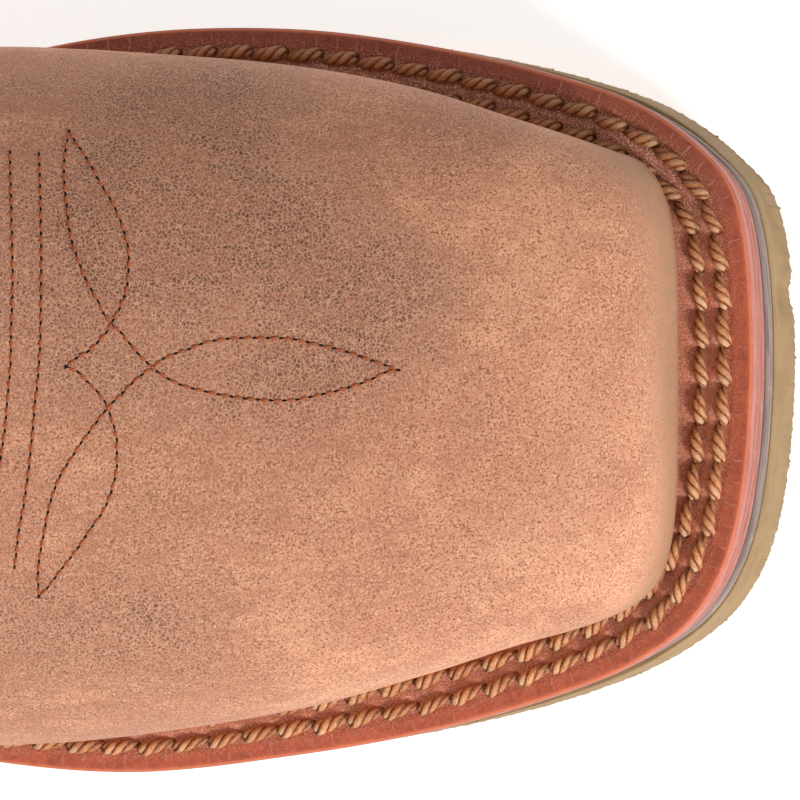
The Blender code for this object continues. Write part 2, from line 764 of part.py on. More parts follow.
def side_seam(height):
    """Station of the side seam at a height, half way between the shaft's back and front."""
    table = np.array(SHAFT_SECTIONS)
    middle = (table[:, 0] + table[:, 2]) / 2 * SOLE_LENGTH
    level = SEAT_LEVEL + (table[:, 1] + table[:, 3]) / 2 * SHAFT_RISE
    return np.interp(height, level, middle)


def make_piping(name, sign, cutters):
    """The welt of leather along the shaft's side seam, from the vamp to the pull strap."""
    low = max(VAMP_EDGE[0][1], COUNTER_EDGE[0][1]) * SHAFT_RISE + OVERLAY + 2 * GAP
    high = SEAT_LEVEL + SHAFT_RISE + SCALLOP - STRAP_DROP - 2 * GAP
    heights = np.linspace(low, high, 9)
    half = PIPING_WIDTH / 2
    front = [((side_seam(z) + half) / SOLE_LENGTH, z / SHAFT_RISE) for z in heights]
    back = [(side_seam(z) - half, z) for z in heights[::-1]]
    return overlay(name, PIPING_RISE, front, back, cutters, sorted((0.0, sign * BALL_WIDTH)))


def column_at(side, offset):
    """A line up the shaft beside its side seam, offset towards the toe, as points on the
    skin from the ankle to the collar."""
    width = SKIN.shape[1]
    middle = width // 2
    columns = slice(middle, None, -1) if side == "inner" else slice(middle, None)
    found = []
    for row in SKIN[CLOSED + 2 :, columns]:
        station = side_seam(row[:, 2].mean()) + offset
        order = np.argsort(row[:, 0])
        found.append([np.interp(station, row[order, 0], row[order, c]) for c in range(3)])
    return np.array(found)


def from_top(line, distances):
    """Points at distances down from the top end of a line."""
    length = np.linalg.norm(np.diff(line, axis=0), axis=1).sum()
    return at_shares(line, 1 - np.asarray(distances) / length)


def make_strap(name, side):
    """A pull strap: up the outside of the shaft, over the collar in a loop, and down inside."""
    sign = 1 if side == "inner" else -1
    outside = GAP + BINDING_THICKNESS + GAP
    inside = -(WALL + GAP + BINDING_THICKNESS + GAP)
    turn = np.linspace(0, math.pi, 11)
    middle = (outside + inside) / 2
    half = (outside - inside) / 2
    columns = []
    for offset in np.linspace(-STRAP_WIDTH / 2, STRAP_WIDTH / 2, CROSS_STEPS + 1):
        line = column_at(side, offset)
        down = np.linspace(STRAP_DROP, 0, 10)
        outer = from_top(line, down) + [0, sign * outside, 0]
        inner = from_top(line, down[down < STRAP_TUCK][::-1]) + [0, sign * inside, 0]
        arch = np.stack(
            [
                np.zeros_like(turn),
                sign * (middle + half * np.cos(turn) * (1 + STRAP_BULGE * np.sin(turn))),
                BINDING_THICKNESS + 3 * GAP + STRAP_LOOP * np.sin(turn),
            ],
            axis=1,
        )
        columns.append(np.concatenate([outer, line[-1] + arch, inner]))
    grid = np.array(columns)
    if side == "inner":
        grid = grid[::-1]
    return thicken(grid_sheet(name, grid), STRAP_THICKNESS, 1)


def grid_sheet(name, grid):
    count, width = grid.shape[:2]
    quads = [
        tuple(i * width + j + s for s in (0, 1, width + 1, width))
        for i in range(count - 1)
        for j in range(width - 1)
    ]
    return rows_to_mesh(name, grid.reshape(-1, 3) + SHIFT, quads)


def make_binding():
    """The strip folded over the collar: a U carried round the top edge."""
    rim = SKIN[-1, :-1]
    ahead, behind = np.roll(rim, -1, axis=0), np.roll(rim, 1, axis=0)
    run = (ahead - behind)[:, :2]
    run /= np.linalg.norm(run, axis=1)[:, None]
    outward = np.stack([run[:, 1], -run[:, 0], np.zeros(len(rim))], axis=1)
    centre = rim.mean(axis=0)
    outward *= np.sign(np.sum(outward * (rim - centre), axis=1))[:, None]
    length = from_top_columns(BINDING_DROP)
    near, far = GAP, GAP + BINDING_THICKNESS
    clear, top = 2 * GAP, 2 * GAP + BINDING_THICKNESS
    profile = [
        (near, True, 0),
        (far, True, 0),
        (far, False, top),
        (-WALL - far, False, top),
        (-WALL - far, True, 0),
        (-WALL - near, True, 0),
        (-WALL - near, False, clear),
        (near, False, clear),
    ]
    up = np.array([0, 0, 1.0])
    rings = []
    for out, low, rise in profile:
        base = length if low else rim
        rings.append(base + outward * out + up * rise)
    grid = np.array(rings)
    count, around = grid.shape[:2]
    quads = []
    for i in range(count):
        for j in range(around):
            n, m = (i + 1) % count, (j + 1) % around
            quads.append((i * around + j, i * around + m, n * around + m, n * around + j))
    return rows_to_mesh("collar_binding", grid.reshape(-1, 3) + SHIFT, quads)


def from_top_columns(drop):
    """The skin's points this far below the collar, one for each column."""
    width = SKIN.shape[1] - 1
    return np.array([from_top(SKIN[CLOSED:, j], [drop])[0] for j in range(width)])


def ring(name, outer, inner, top, bottom, outer_foot):
    """A flat ring of the sole between an outer and an inner plan whose lines have the same
    number of points. The outer wall leans from its plan at the top to its foot's."""
    points, numbers = [], {}
    for plan, sides in (("outer", outer), ("inner", inner)):
        for level in (top, bottom):
            for side in ("inner", "outer"):
                leaning = plan == "outer" and level == bottom
                line = on_sole((outer_foot if leaning else sides)[side], level) + SHIFT
                numbers[plan, level, side] = range(len(points), len(points) + len(line))
                points.extend(line)
    quads = []
    for side in ("inner", "outer"):
        faces = (("outer", top), ("inner", top)), (("outer", bottom), ("inner", bottom))
        walls = (("outer", top), ("outer", bottom)), (("inner", top), ("inner", bottom))
        for first, second in faces + walls:
            quads += ladder(numbers[(*first, side)], numbers[(*second, side)])
    return rows_to_mesh(name, points, quads)


def make_outsole(cutters):
    """The slab with its rim lugs, joined to the chevron bars in the middle of the tread."""
    length = min(side_length(side) for side in SOLE.values())
    tread = length * np.interp(
        -TREAD_START, -SOLE["inner"][:, 0], along(SOLE["inner"])
    )
    shares, raised = lug_shares(length, tread)
    slab = treaded_layer(
        "slab", SOLE, shares, raised, OUTSOLE_TOP, SLAB_BOTTOM, LUG_BOTTOM, RIM_LUG_WIDTH
    )
    link(slab, cutters)
    combine(slab, link(middle_lugs("bars"), cutters), "UNION")
    return baked(slab, "outsole")


def make_heel(name, top, bottom, top_inset, bottom_inset, cutters):
    """A part of the heel between two levels, hollowed at the breast."""
    steps = dict.fromkeys(SOLE, np.linspace(0, 1, HEEL_STEPS + 1))
    upper, lower = (sampled(heel_sides(inward), steps) for inward in (top_inset, bottom_inset))
    block = layer(name + "_block", upper, top, bottom, lower)
    link(block, cutters)
    chord = BALL_WIDTH
    radius = (chord**2 / 4 + BREAST_HOLLOW**2) / (2 * BREAST_HOLLOW)
    drum = bpy.data.meshes.new(name + "_drum")
    shape = bmesh.new()
    bmesh.ops.create_cone(
        shape, cap_ends=True, segments=128, radius1=radius, radius2=radius, depth=0.2
    )
    shape.to_mesh(drum)
    shape.free()
    cutter = bpy.data.objects.new(name + "_drum", drum)
    cutter.location = SHIFT + [HEEL_BREAST - BREAST_HOLLOW + radius, 0, 0]
    link(cutter, cutters)
    combine(block, cutter, "DIFFERENCE")
    return baked(block, name)


def link(obj, collection):
    if isinstance(collection, dict):
        collection[obj.name] = obj
        obj.hide_render = True
        obj.display_type = "WIRE"
        collection = collection["collection"]
    collection.objects.link(obj)
    bpy.context.view_layer.update()
    return obj


def material(name, color, roughness):
    made = bpy.data.materials.new(name)
    made.use_nodes = True
    shader = made.node_tree.nodes["Principled BSDF"]
    shader.inputs["Base Color"].default_value = (*color, 1)
    shader.inputs["Roughness"].default_value = roughness
    shader.inputs["Metallic"].default_value = 0
    return made


def finish(obj, made):
    obj.data.materials.clear()
    obj.data.materials.append(made)
    obj.data.shade_smooth()
    obj.data.set_sharp_from_angle(angle=math.radians(40))
    return obj


def main():
    for old in list(bpy.data.objects):
        bpy.data.objects.remove(old)
    scene = bpy.context.scene.collection
    parts = bpy.data.collections.new("western_work_boot")
    scene.children.link(parts)
    helpers = bpy.data.collections.new("cutters")
    scene.children.link(helpers)
    cutters = {"collection": helpers}

    edge = feather_sides()
    shares = {side: along(line) for side, line in edge.items()}
    rim = sampled(SOLE, shares)
    flared = sampled(inset(SOLE, welt_flare), shares)
    foam = sampled(inset(SOLE, FOAM_INSET), shares)
    midsole = sampled(inset(SOLE, MIDSOLE_INSET), shares)
    around = sampled(inset(SOLE, -WELT_THICKNESS), shares)
    link(layer("under_block", around, FEATHER_LEVEL + GAP, -SEAT_LEVEL), cutters)
    slip_top = -MIDSOLE_THICKNESS - GAP
    heel_top = SLAB_BOTTOM - GAP
    lift_top = TOP_LIFT_THICKNESS - SEAT_LEVEL
    room = inset(edge, WALL + 2 * GAP)
    made = [
        (make_upper(cutters), "leather"),
        (make_outsole(cutters), "outsole"),
        (layer("foam_layer", foam, slip_top, OUTSOLE_TOP + GAP), "foam"),
        (layer("midsole", midsole, 0, -MIDSOLE_THICKNESS), "midsole"),
        (ring("welt", flared, inset(edge, -GAP), WELT_TOP, GAP, rim), "welt"),
        (layer("insole", room, GAP + INSOLE_THICKNESS, GAP), "insole"),
        (make_heel("heel", heel_top, lift_top + GAP, 0, HEEL_TAPER, cutters), "heel"),
        (make_heel("top_lift", lift_top, -SEAT_LEVEL, HEEL_TAPER, HEEL_TAPER, cutters), "outsole"),
        (make_counter(cutters), "leather"),
        (make_piping("piping_inner", 1, cutters), "leather"),
        (make_piping("piping_outer", -1, cutters), "leather"),
        (make_binding(), "leather"),
        (make_strap("pull_strap_inner", "inner"), "leather"),
        (make_strap("pull_strap_outer", "outer"), "leather"),
    ]
    for obj, kind in made:
        if obj.name not in parts.objects:
            link(obj, parts)
        finish(obj, material(obj.name, COLORS[kind], ROUGHNESS[kind]))


main()
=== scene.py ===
import math

import bmesh
import bpy
import numpy as np
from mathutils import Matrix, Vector
from mathutils.bvhtree import BVHTree


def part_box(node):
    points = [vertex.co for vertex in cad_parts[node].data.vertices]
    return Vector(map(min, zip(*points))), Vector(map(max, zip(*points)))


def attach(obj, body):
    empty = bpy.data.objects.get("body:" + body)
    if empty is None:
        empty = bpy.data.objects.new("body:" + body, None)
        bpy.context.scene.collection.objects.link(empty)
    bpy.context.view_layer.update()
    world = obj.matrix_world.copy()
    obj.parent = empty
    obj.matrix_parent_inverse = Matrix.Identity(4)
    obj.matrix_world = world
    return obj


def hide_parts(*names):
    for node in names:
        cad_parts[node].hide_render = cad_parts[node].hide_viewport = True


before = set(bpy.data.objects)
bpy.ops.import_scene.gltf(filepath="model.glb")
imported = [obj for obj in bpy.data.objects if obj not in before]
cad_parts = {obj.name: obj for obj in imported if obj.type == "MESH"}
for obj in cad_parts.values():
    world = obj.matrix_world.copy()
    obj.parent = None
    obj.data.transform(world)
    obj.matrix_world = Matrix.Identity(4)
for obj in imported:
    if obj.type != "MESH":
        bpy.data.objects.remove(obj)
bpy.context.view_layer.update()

mm = 0.001
print("frame loaded")

# sizes of the boot, in millimetres; stations run from the heel's back to the toe
sole = {
    "length": 305.0, "ballWidth": 115.8, "heelLift": 25.5, "toeSpring": 13.0, "gap": 0.3,
    "welt": 3.5, "midsole": 4.2, "slip": 2.3, "slab": 5.5, "lugDepth": 3.5, "insole": 4.0,
    "topLift": 6.0, "midsoleInset": 0.4, "foamInset": 1.0, "lugLength": 12.0, "lugSpace": 5.0,
    "rimLug": 11.0, "channel": 4.0, "chevron": 6.0, "breast": 72.0, "breastHollow": 5.0,
    "heelTaper": 1.5, "seatEnd": 74.0, "treadStart": 168.0, "springStart": 222.0, "tipSide": 0.069,
}
shaft = {
    "instepRise": 156.0, "rise": 266.0, "width": 93.6, "scallop": 13.0, "wall": 2.4,
    "level": 0.49, "fullness": 2.2, "lowerFullness": 2.35, "crestSide": 0.036,
    "crestFade": (0.44, 0.62), "scallopRows": 3.0,
}
solePlan = np.array([  # station, inner edge, outer edge: shares of the length and ball width
    (0.990, 0.268, 0.181), (0.970, 0.331, 0.280), (0.938, 0.387, 0.342), (0.892, 0.429, 0.391),
    (0.826, 0.470, 0.440), (0.754, 0.495, 0.475), (0.669, 0.492, 0.500), (0.584, 0.449, 0.484),
    (0.492, 0.350, 0.436), (0.400, 0.289, 0.389), (0.311, 0.298, 0.363), (0.216, 0.335, 0.347),
    (0.131, 0.338, 0.342), (0.059, 0.293, 0.293), (0.016, 0.172, 0.172),
])
weltMargin = np.array([  # station, margin from the welt's edge to the leather, inner and outer
    (0.00, 5.0, 5.0), (0.25, 5.4, 5.4), (0.42, 6.5, 6.5), (0.60, 10.0, 10.0),
    (0.75, 10.4, 10.8), (0.88, 11.4, 12.6), (0.96, 12.8, 13.4), (1.00, 13.2, 13.2),
])
# place of the ends round the feather edge, station and rise of the top, level of the widest
# place, half widths, fullness
footRows = np.array([
    (0.118, 0.9560, 0.0290, 0.30, 0.3200, 0.2540, 3.8),
    (0.135, 0.9590, 0.0750, 0.40, 0.3120, 0.2520, 3.8),
    (0.160, 0.9618, 0.1320, 0.38, 0.3190, 0.2690, 3.7),
    (0.188, 0.9545, 0.1900, 0.34, 0.3370, 0.2890, 3.5),
    (0.222, 0.9330, 0.2400, 0.32, 0.3650, 0.3130, 3.2),
    (0.262, 0.8980, 0.2850, 0.30, 0.4020, 0.3510, 2.95),
    (0.307, 0.8500, 0.3310, 0.30, 0.4270, 0.3900, 2.75),
    (0.355, 0.7920, 0.3790, 0.30, 0.4410, 0.4180, 2.6),
    (0.407, 0.7280, 0.4260, 0.30, 0.4510, 0.4380, 2.45),
    (0.463, 0.6620, 0.4740, 0.30, 0.4500, 0.4420, 2.35),
    (0.524, 0.6000, 0.5310, 0.31, 0.4300, 0.4280, 2.3),
    (0.590, 0.5440, 0.6020, 0.33, 0.3930, 0.4040, 2.25),
    (0.660, 0.4980, 0.6820, 0.36, 0.3580, 0.3770, 2.2),
    (0.735, 0.4690, 0.7670, 0.40, 0.3370, 0.3540, 2.2),
    (0.810, 0.4520, 0.8420, 0.43, 0.3240, 0.3390, 2.2),
    (0.872, 0.4460, 0.9040, 0.45, 0.3190, 0.3320, 2.2),
    (0.930, 0.4430, 0.9550, 0.47, 0.3180, 0.3290, 2.2),
    (0.972, 0.4420, 0.9830, 0.48, 0.3180, 0.3280, 2.2),
    (1.000, 0.4410, 1.0000, 0.48, 0.3180, 0.3280, 2.2),
])
# back station and rise, front station and rise, half widths
shaftRows = np.array([
    (0.0130, 0.060, 0.4405, 0.555, 0.396, 0.406), (0.0170, 0.150, 0.4415, 0.612, 0.393, 0.402),
    (0.0290, 0.252, 0.4445, 0.672, 0.391, 0.399), (0.0375, 0.358, 0.4490, 0.734, 0.395, 0.401),
    (0.0370, 0.470, 0.4560, 0.794, 0.409, 0.412), (0.0310, 0.588, 0.4655, 0.850, 0.430, 0.430),
    (0.0230, 0.706, 0.4755, 0.900, 0.455, 0.455), (0.0160, 0.820, 0.4850, 0.944, 0.478, 0.478),
    (0.0115, 0.920, 0.4930, 0.976, 0.494, 0.494), (0.0100, 1.000, 0.4980, 1.000, 0.500, 0.500),
])
vampEdge = np.array([
    (0.238, 0.393), (0.262, 0.395), (0.305, 0.402), (0.345, 0.425),
    (0.385, 0.480), (0.412, 0.560), (0.428, 0.640), (0.452, 0.668),
])
counterEdge = np.array([
    (0.236, 0.393), (0.214, 0.395), (0.150, 0.445), (0.090, 0.505), (0.040, 0.545),
])

outsoleTop = -(sole["midsole"] + sole["slip"] + 2 * sole["gap"])
slabBottom = outsoleTop - sole["slab"]
lugBottom = slabBottom - sole["lugDepth"]
weltTop = sole["gap"] + sole["welt"]
featherLevel = weltTop + sole["gap"]
seatLevel = sole["heelLift"] - slabBottom


def smoothThrough(knots, values, at):
    # cubic pieces through the values; a knot's slope is the weighted mean of its two sides
    shape = (-1,) + (1,) * (values.ndim - 1)
    steps = np.diff(knots).reshape(shape)
    slopes = np.diff(values, axis=0) / steps
    inner = (steps[1:] * slopes[:-1] + steps[:-1] * slopes[1:]) / (steps[1:] + steps[:-1])
    tangents = np.concatenate([slopes[:1], inner, slopes[-1:]])
    k = np.clip(np.searchsorted(knots, at, side="right") - 1, 0, len(knots) - 2)
    width = (knots[k + 1] - knots[k]).reshape(shape)
    u = (at - knots[k]).reshape(shape) / width
    return (
        values[k] * (2 * u**3 - 3 * u**2 + 1) + values[k + 1] * (3 * u**2 - 2 * u**3)
        + tangents[k] * width * (u**3 - 2 * u**2 + u) + tangents[k + 1] * width * (u**3 - u**2)
    )


def ease(u):
    # 3u2 - 2u3 between 0 and 1
    u = np.clip(u, 0, 1)
    return u * u * (3 - 2 * u)


def soleLine(x):
    # height of the midsole's top: level at the heel, eased down to the ball, parabola at the toe
    fall = ease((x - sole["seatEnd"]) / (sole["treadStart"] - sole["seatEnd"]))
    spring = np.clip((x - sole["springStart"]) / (sole["length"] - sole["springStart"]), 0, None)
    return -lugBottom + (seatLevel + lugBottom) * (1 - fall) + sole["toeSpring"] * spring**2


def soleSlope(x):
    # the angle of that line, in radians
    return np.arctan((soleLine(x + 0.01) - soleLine(x - 0.01)) / 0.02)


def onSole(plan, level):
    # plan points raised by a level that is measured square to the midsole's top
    angle = soleSlope(plan[..., 0])
    return np.stack([
        plan[..., 0] - level * np.sin(angle), plan[..., 1] + 0 * angle * level,
        soleLine(plan[..., 0]) + level * np.cos(angle),
    ], axis=-1)


def lengthsAlong(line, closed=False):
    # how far each point lies from the first, and the whole way round where the line is closed
    if closed:
        line = np.concatenate([line, line[:1]])
    return np.concatenate([[0.0], np.cumsum(np.linalg.norm(np.diff(line, axis=0), axis=1))])


def lengthsUp(grid):
    # in every column of a grid, how far each point lies from the last row, which comes first
    steps = np.cumsum(np.linalg.norm(np.diff(grid[::-1], axis=0), axis=-1), axis=0)
    return np.concatenate([np.zeros((1, grid.shape[1])), steps])


def unit(vectors):
    # each vector at length 1
    return vectors / np.maximum(np.linalg.norm(vectors, axis=-1, keepdims=True), 1e-12)


def shares(line):
    # how far each point lies along the line, as a share of its length
    total = lengthsAlong(line)
    return total / total[-1]


def atShares(line, where, values=None):
    # the line's points, or the values that belong to them, at shares of its length
    known = shares(line)
    values = line if values is None else values
    return np.stack([np.interp(where, known, column) for column in values.T], axis=-1)


def soleLoop():
    # the outline once round, from the toe tip over the inner side, heel and outer side
    stations = solePlan[:, 0] * sole["length"]
    inner = np.stack([stations, solePlan[:, 1] * sole["ballWidth"]], axis=1)
    outer = np.stack([stations, -solePlan[:, 2] * sole["ballWidth"]], axis=1)
    toe = np.array([[sole["length"], sole["tipSide"] * sole["ballWidth"]]])
    loop = np.concatenate([toe, inner, [[0.0, 0.0]], outer[::-1]])
    around = np.concatenate([loop[-2:], loop, loop[:3]])
    chords = np.linalg.norm(np.diff(around, axis=0), axis=1) ** 0.5
    knots = np.concatenate([[0.0], np.cumsum(chords)])
    pieces = 2 * (len(inner) + 1)
    marks = np.concatenate([
        np.linspace(knots[k], knots[k + 1], 16, endpoint=False) for k in range(2, 2 + pieces)
    ])
    return smoothThrough(knots, around, marks)


outline = soleLoop()
halfway = len(outline) // 2


def insetLoop(loop, distance):
    # every edge moved inwards by the distance, corners mitred
    run = unit(np.roll(loop, -1, axis=0) - loop)
    normal = np.stack([run[:, 1], -run[:, 0]], axis=1)
    corner = normal + np.roll(normal, 1, axis=0)
    corner *= 2 / np.sum(corner**2, axis=1)[:, None]
    corner *= np.sign(np.sum(corner * (loop.mean(axis=0) - loop), axis=1).sum())
    return loop + corner * np.broadcast_to(distance, len(loop))[:, None]


def marginRound():
    # the width of welt beside the leather, at each corner of the outline
    stations = weltMargin[:, 0] * sole["length"]
    inner, outer = (np.interp(outline[:, 0], stations, weltMargin[:, c]) for c in (1, 2))
    return np.where(np.arange(len(outline)) <= halfway, inner, outer)


margin = marginRound()
feather = insetLoop(outline, margin)


def splitLoop(loop):
    # the inner and the outer side, each from the toe tip to the heel's back
    return {
        "inner": loop[: halfway + 1],
        "outer": np.concatenate([loop[:1], loop[halfway:][::-1]]),
    }


featherSides = splitLoop(feather)
lowest = onSole(outline, lugBottom)
shift = np.array([
    -(lowest[:, 0].min() + lowest[:, 0].max()) / 2,
    -(outline[:, 1].min() + outline[:, 1].max()) / 2, 0.0,
])


def evenPlaces(count):
    # fractional corner numbers of the outline, evenly spaced round it
    total = lengthsAlong(outline, True)
    lengths = np.arange(count) / count * total[-1]
    return np.interp(lengths, total, np.arange(len(outline) + 1))


def pick(values, places):
    # values of a closed loop at fractional corner numbers
    k = np.floor(places).astype(int)
    u = (places - k).reshape((-1,) + (1,) * (values.ndim - 1))
    n = len(values)
    return values[k % n] * (1 - u) + values[(k + 1) % n] * u


# the upper's skin: sections from the toe to the collar
def sectionValues(rows):
    # smooth through both tables, at any row between the sections
    count = len(footRows)
    join = np.concatenate
    topX = join([footRows[:, 1], shaftRows[:, 2]]) * sole["length"]
    topZ = join([
        soleLine(footRows[:, 1] * sole["length"]) + footRows[:, 2] * shaft["instepRise"],
        seatLevel + shaftRows[:, 3] * shaft["rise"],
    ])
    heel = onSole(feather[halfway], featherLevel)
    backX = join([np.full(count, heel[0]), shaftRows[:, 0] * sole["length"]])
    backZ = join([np.full(count, heel[2]), seatLevel + shaftRows[:, 1] * shaft["rise"]])
    widths = [
        join([footRows[:, 4 + k] * sole["ballWidth"], shaftRows[:, 4 + k] * shaft["width"]])
        for k in (0, 1)
    ]
    ends = join([footRows[:, 0], np.ones(len(shaftRows))])
    level = join([footRows[:, 3], np.full(len(shaftRows), shaft["level"])])
    fullness = join([footRows[:, 6], np.full(len(shaftRows), shaft["fullness"])])
    table = np.stack([ends, topX, topZ, backX, backZ, level, *widths, fullness], axis=1)
    values = smoothThrough(np.arange(len(table), dtype=float), table, rows)
    values[:, 0] = np.minimum(values[:, 0], 1)
    inFoot = rows <= count - 1
    values[inFoot, 3], values[inFoot, 4] = heel[0], heel[2]
    return values


def sectionSide(values, side, rise, where):
    # from the crest down: a superellipse to the widest place, then drawn in to the feather edge
    ends, topX, topZ, backX, backZ, level, inner, outer, fullness = (
        values[:, c, None] for c in range(values.shape[1])
    )
    sign = 1 if side == "inner" else -1
    width = inner if side == "inner" else outer
    foot = onSole(atShares(featherSides[side], ends[:, 0]), featherLevel)
    closed = ends[:, 0] >= 1
    foot[closed] = np.concatenate([backX, 0 * backX, backZ], axis=1)[closed]
    fade = [share * sole["length"] for share in shaft["crestFade"]]
    crest = shaft["crestSide"] * sole["ballWidth"] * ease((topX - fade[0]) / (fade[1] - fade[0]))
    reach = np.abs(foot[:, 1, None])
    turn = np.linspace(0, math.pi / 2, 90)[None]
    power = 2 / fullness
    high = level + (1 - level) * np.cos(turn) ** power
    highY = sign * crest + (width - sign * crest) * np.sin(turn) ** power
    roundness = 1 / shaft["lowerFullness"]
    squared = roundness + (1 - roundness) * (reach / width) ** 2
    down = np.sin(turn[:, 1:])
    low = level * (1 - down)
    lowY = reach + (width - reach) * np.clip(1 - down ** shaft["lowerFullness"], 0, 1) ** squared
    share = np.concatenate([high, low], axis=1)
    y = sign * np.concatenate([highY, lowY], axis=1)
    x = foot[:, 0, None] + (topX - foot[:, 0, None]) * share
    z = foot[:, 2, None] + (topZ - foot[:, 2, None]) * share
    z = z + rise[:, None] * np.sin(math.pi * np.clip(share, 0, 1)) ** 2
    lines = np.stack([x, y, z], axis=-1)
    return np.stack([atShares(line, where) for line in lines])


def cornerNormals(grid):
    # area-weighted face normals, summed at each corner and over corners that share a place
    points = grid.reshape(-1, 3)
    faces = gridFaces(*grid.shape[:2])
    square = np.cross(points[faces[:, 2]] - points[faces[:, 0]],
                      points[faces[:, 3]] - points[faces[:, 1]])
    keys = np.round(points * 1000 + 0.37).astype(np.int64)  # the shift avoids ties
    same = np.unique(keys, axis=0, return_inverse=True)[1].reshape(-1)
    total = np.zeros((same.max() + 1, 3))
    for corner in range(4):
        np.add.at(total, same[faces[:, corner]], square)
    return unit(total[same]).reshape(grid.shape)


def gridFaces(rows, columns, closeRows=False, closeColumns=False):
    # four-cornered faces of a grid of points, which may close on itself either way
    i, j = np.meshgrid(
        np.arange(rows if closeRows else rows - 1),
        np.arange(columns if closeColumns else columns - 1), indexing="ij",
    )
    after, beside = (i + 1) % rows, (j + 1) % columns
    quads = [i * columns + j, i * columns + beside, after * columns + beside, after * columns + j]
    return np.stack(quads, axis=-1).reshape(-1, 4)


def runMap(faces, columns, along, across):
    # the places of a grid's faces, corner by corner, from one length for each row and column
    i, j = faces[:, 0] // columns, faces[:, 0] % columns
    corners = ((i, j), (i, j + 1), (i + 1, j + 1), (i + 1, j))
    return np.stack([np.stack([along[a], across[b]], axis=1) for a, b in corners], axis=1)


def tubeMap(face, steps, around, length):
    # millimetres along a tube and the share of the way round it
    return runMap(face, around, np.linspace(0, length, steps), np.arange(around + 1) / around)


def manyFaces(face, count):
    # the faces of one piece, repeated for a row of equal pieces
    return (face[None] + (np.arange(count) * (face.max() + 1))[:, None, None]).reshape(-1, 4)


def fullTurn(count):
    return np.linspace(0, 2 * math.pi, count, endpoint=False)


skinDensity = {"perRow": 12, "perSide": 110}
ankleRow = len(footRows) - 1  # the foot's last section
lastRow = len(footRows) + len(shaftRows) - 1.0


def makeSkin():
    # rows from the toe to the collar; columns from the inner edge over the crest to the outer.
    # The first row is the feather edge itself, and a parabola leads from it to the first section
    rows = np.arange(1, lastRow + 0.001, 1 / skinDensity["perRow"])
    where = np.linspace(0, 1, skinDensity["perSide"] + 1)
    rise = shaft["scallop"] * ease(1 - (lastRow - rows) / shaft["scallopRows"])
    values = sectionValues(rows)
    inner, outer = (sectionSide(values, side, rise, where) for side in ("inner", "outer"))
    body = np.concatenate([inner[:, ::-1], outer[:, 1:]], axis=1)
    toeShare = np.linspace(0, footRows[0, 0], skinDensity["perSide"] + 1)
    toe = [onSole(atShares(featherSides[side], toeShare), featherLevel) for side in featherSides]
    first = np.concatenate([toe[0][::-1], toe[1][1:]])
    slope = (body[1] - body[0]) * skinDensity["perRow"]
    straight = body[0] - first
    spread = np.abs(np.linspace(-1, 1, len(first)))[:, None]
    slope = straight + (slope - straight) * (1 - ease((spread - 0.55) / 0.4))
    t = np.arange(0, 1, 1 / skinDensity["perRow"])[:, None, None]
    start = body[0] + (t - 1) * slope + (t - 1) ** 2 * (first - body[0] + slope)
    return np.concatenate([start, body])


def softened(grid):
    # near the last foot section, each point moves to the mean of its neighbours up the column
    rows = np.arange(grid.shape[0]) / skinDensity["perRow"]
    reach = 9
    padded = np.concatenate([grid[:1]] * reach + [grid] + [grid[-1:]] * reach)
    weights = 1 - np.abs(np.arange(-reach, reach + 1)) / (reach + 1)
    mean = sum(w * padded[k:k + len(grid)] for k, w in enumerate(weights)) / weights.sum()
    near = ease(1.6 - np.abs(rows - ankleRow) / 1.1)[:, None, None]
    spread = np.abs(np.linspace(-1, 1, grid.shape[1]))[None, :, None]
    amount = near * ease((1 - spread) / 0.07)
    return grid * (1 - amount) + mean * amount


skin = softened(makeSkin())
skinNormals = cornerNormals(skin)
vampRow = 5 * skinDensity["perRow"]  # its crest looks up
if skinNormals[vampRow, skinDensity["perSide"], 2] < 0:
    skinNormals = -skinNormals


def skinAt(t, a, rise=0.0):
    # the skin at row t and column a (-1 inner edge, 0 crest, 1 outer edge), and its normal
    t, a = np.broadcast_arrays(np.asarray(t, float), np.asarray(a, float))
    row = np.clip(t, 0, lastRow) * skinDensity["perRow"]
    column = (np.clip(a, -1, 1) + 1) * skinDensity["perSide"]
    i = np.minimum(row.astype(int), skin.shape[0] - 2)
    j = np.minimum(column.astype(int), skin.shape[1] - 2)
    u, v = (row - i)[..., None], (column - j)[..., None]
    found = []
    for field in (skin, skinNormals):
        found.append(
            (field[i, j] * (1 - v) + field[i, j + 1] * v) * (1 - u)
            + (field[i + 1, j] * (1 - v) + field[i + 1, j + 1] * v) * u
        )
    point, normal = found[0], unit(found[1])
    return point + normal * np.asarray(rise)[..., None], normal


def crossingRow(field):
    # for every column of the skin, the first row at which a side-view field falls below 0
    values = field(skin[..., 0], skin[..., 2])
    beyond = values < 0
    k = np.maximum(np.argmax(beyond, axis=0), 1)
    columns = np.arange(values.shape[1])
    before, after = values[k - 1, columns], values[k, columns]
    step = np.where(before == after, 1.0, before - after)
    return np.where(beyond.any(axis=0), (k - 1 + before / step) / skinDensity["perRow"], lastRow)


def edgeHeight(edge, x):
    # a seam's height at a station, on the curve through its table
    fine = smoothThrough(
        np.arange(len(edge), dtype=float), edge, np.linspace(0, len(edge) - 1, 120)
    )
    fine = fine[np.argsort(fine[:, 0])]
    return np.interp(x, fine[:, 0] * sole["length"], fine[:, 1] * shaft["rise"])


creases = [  # station, side, direction in plan, half length, half width, depth: bent troughs
    (172, 16, 86, 30, 2.6, -0.55), (166, -22, 98, 26, 2.4, -0.45),
    (180, -2, 92, 34, 3.4, 0.40), (158, 8, 82, 28, 2.6, -0.50),
    (150, -14, 100, 26, 3.0, -0.50), (144, 12, 84, 26, 3.4, 0.55),
    (190, 30, 70, 18, 2.2, -0.30), (188, -34, 112, 18, 2.2, -0.30),
]


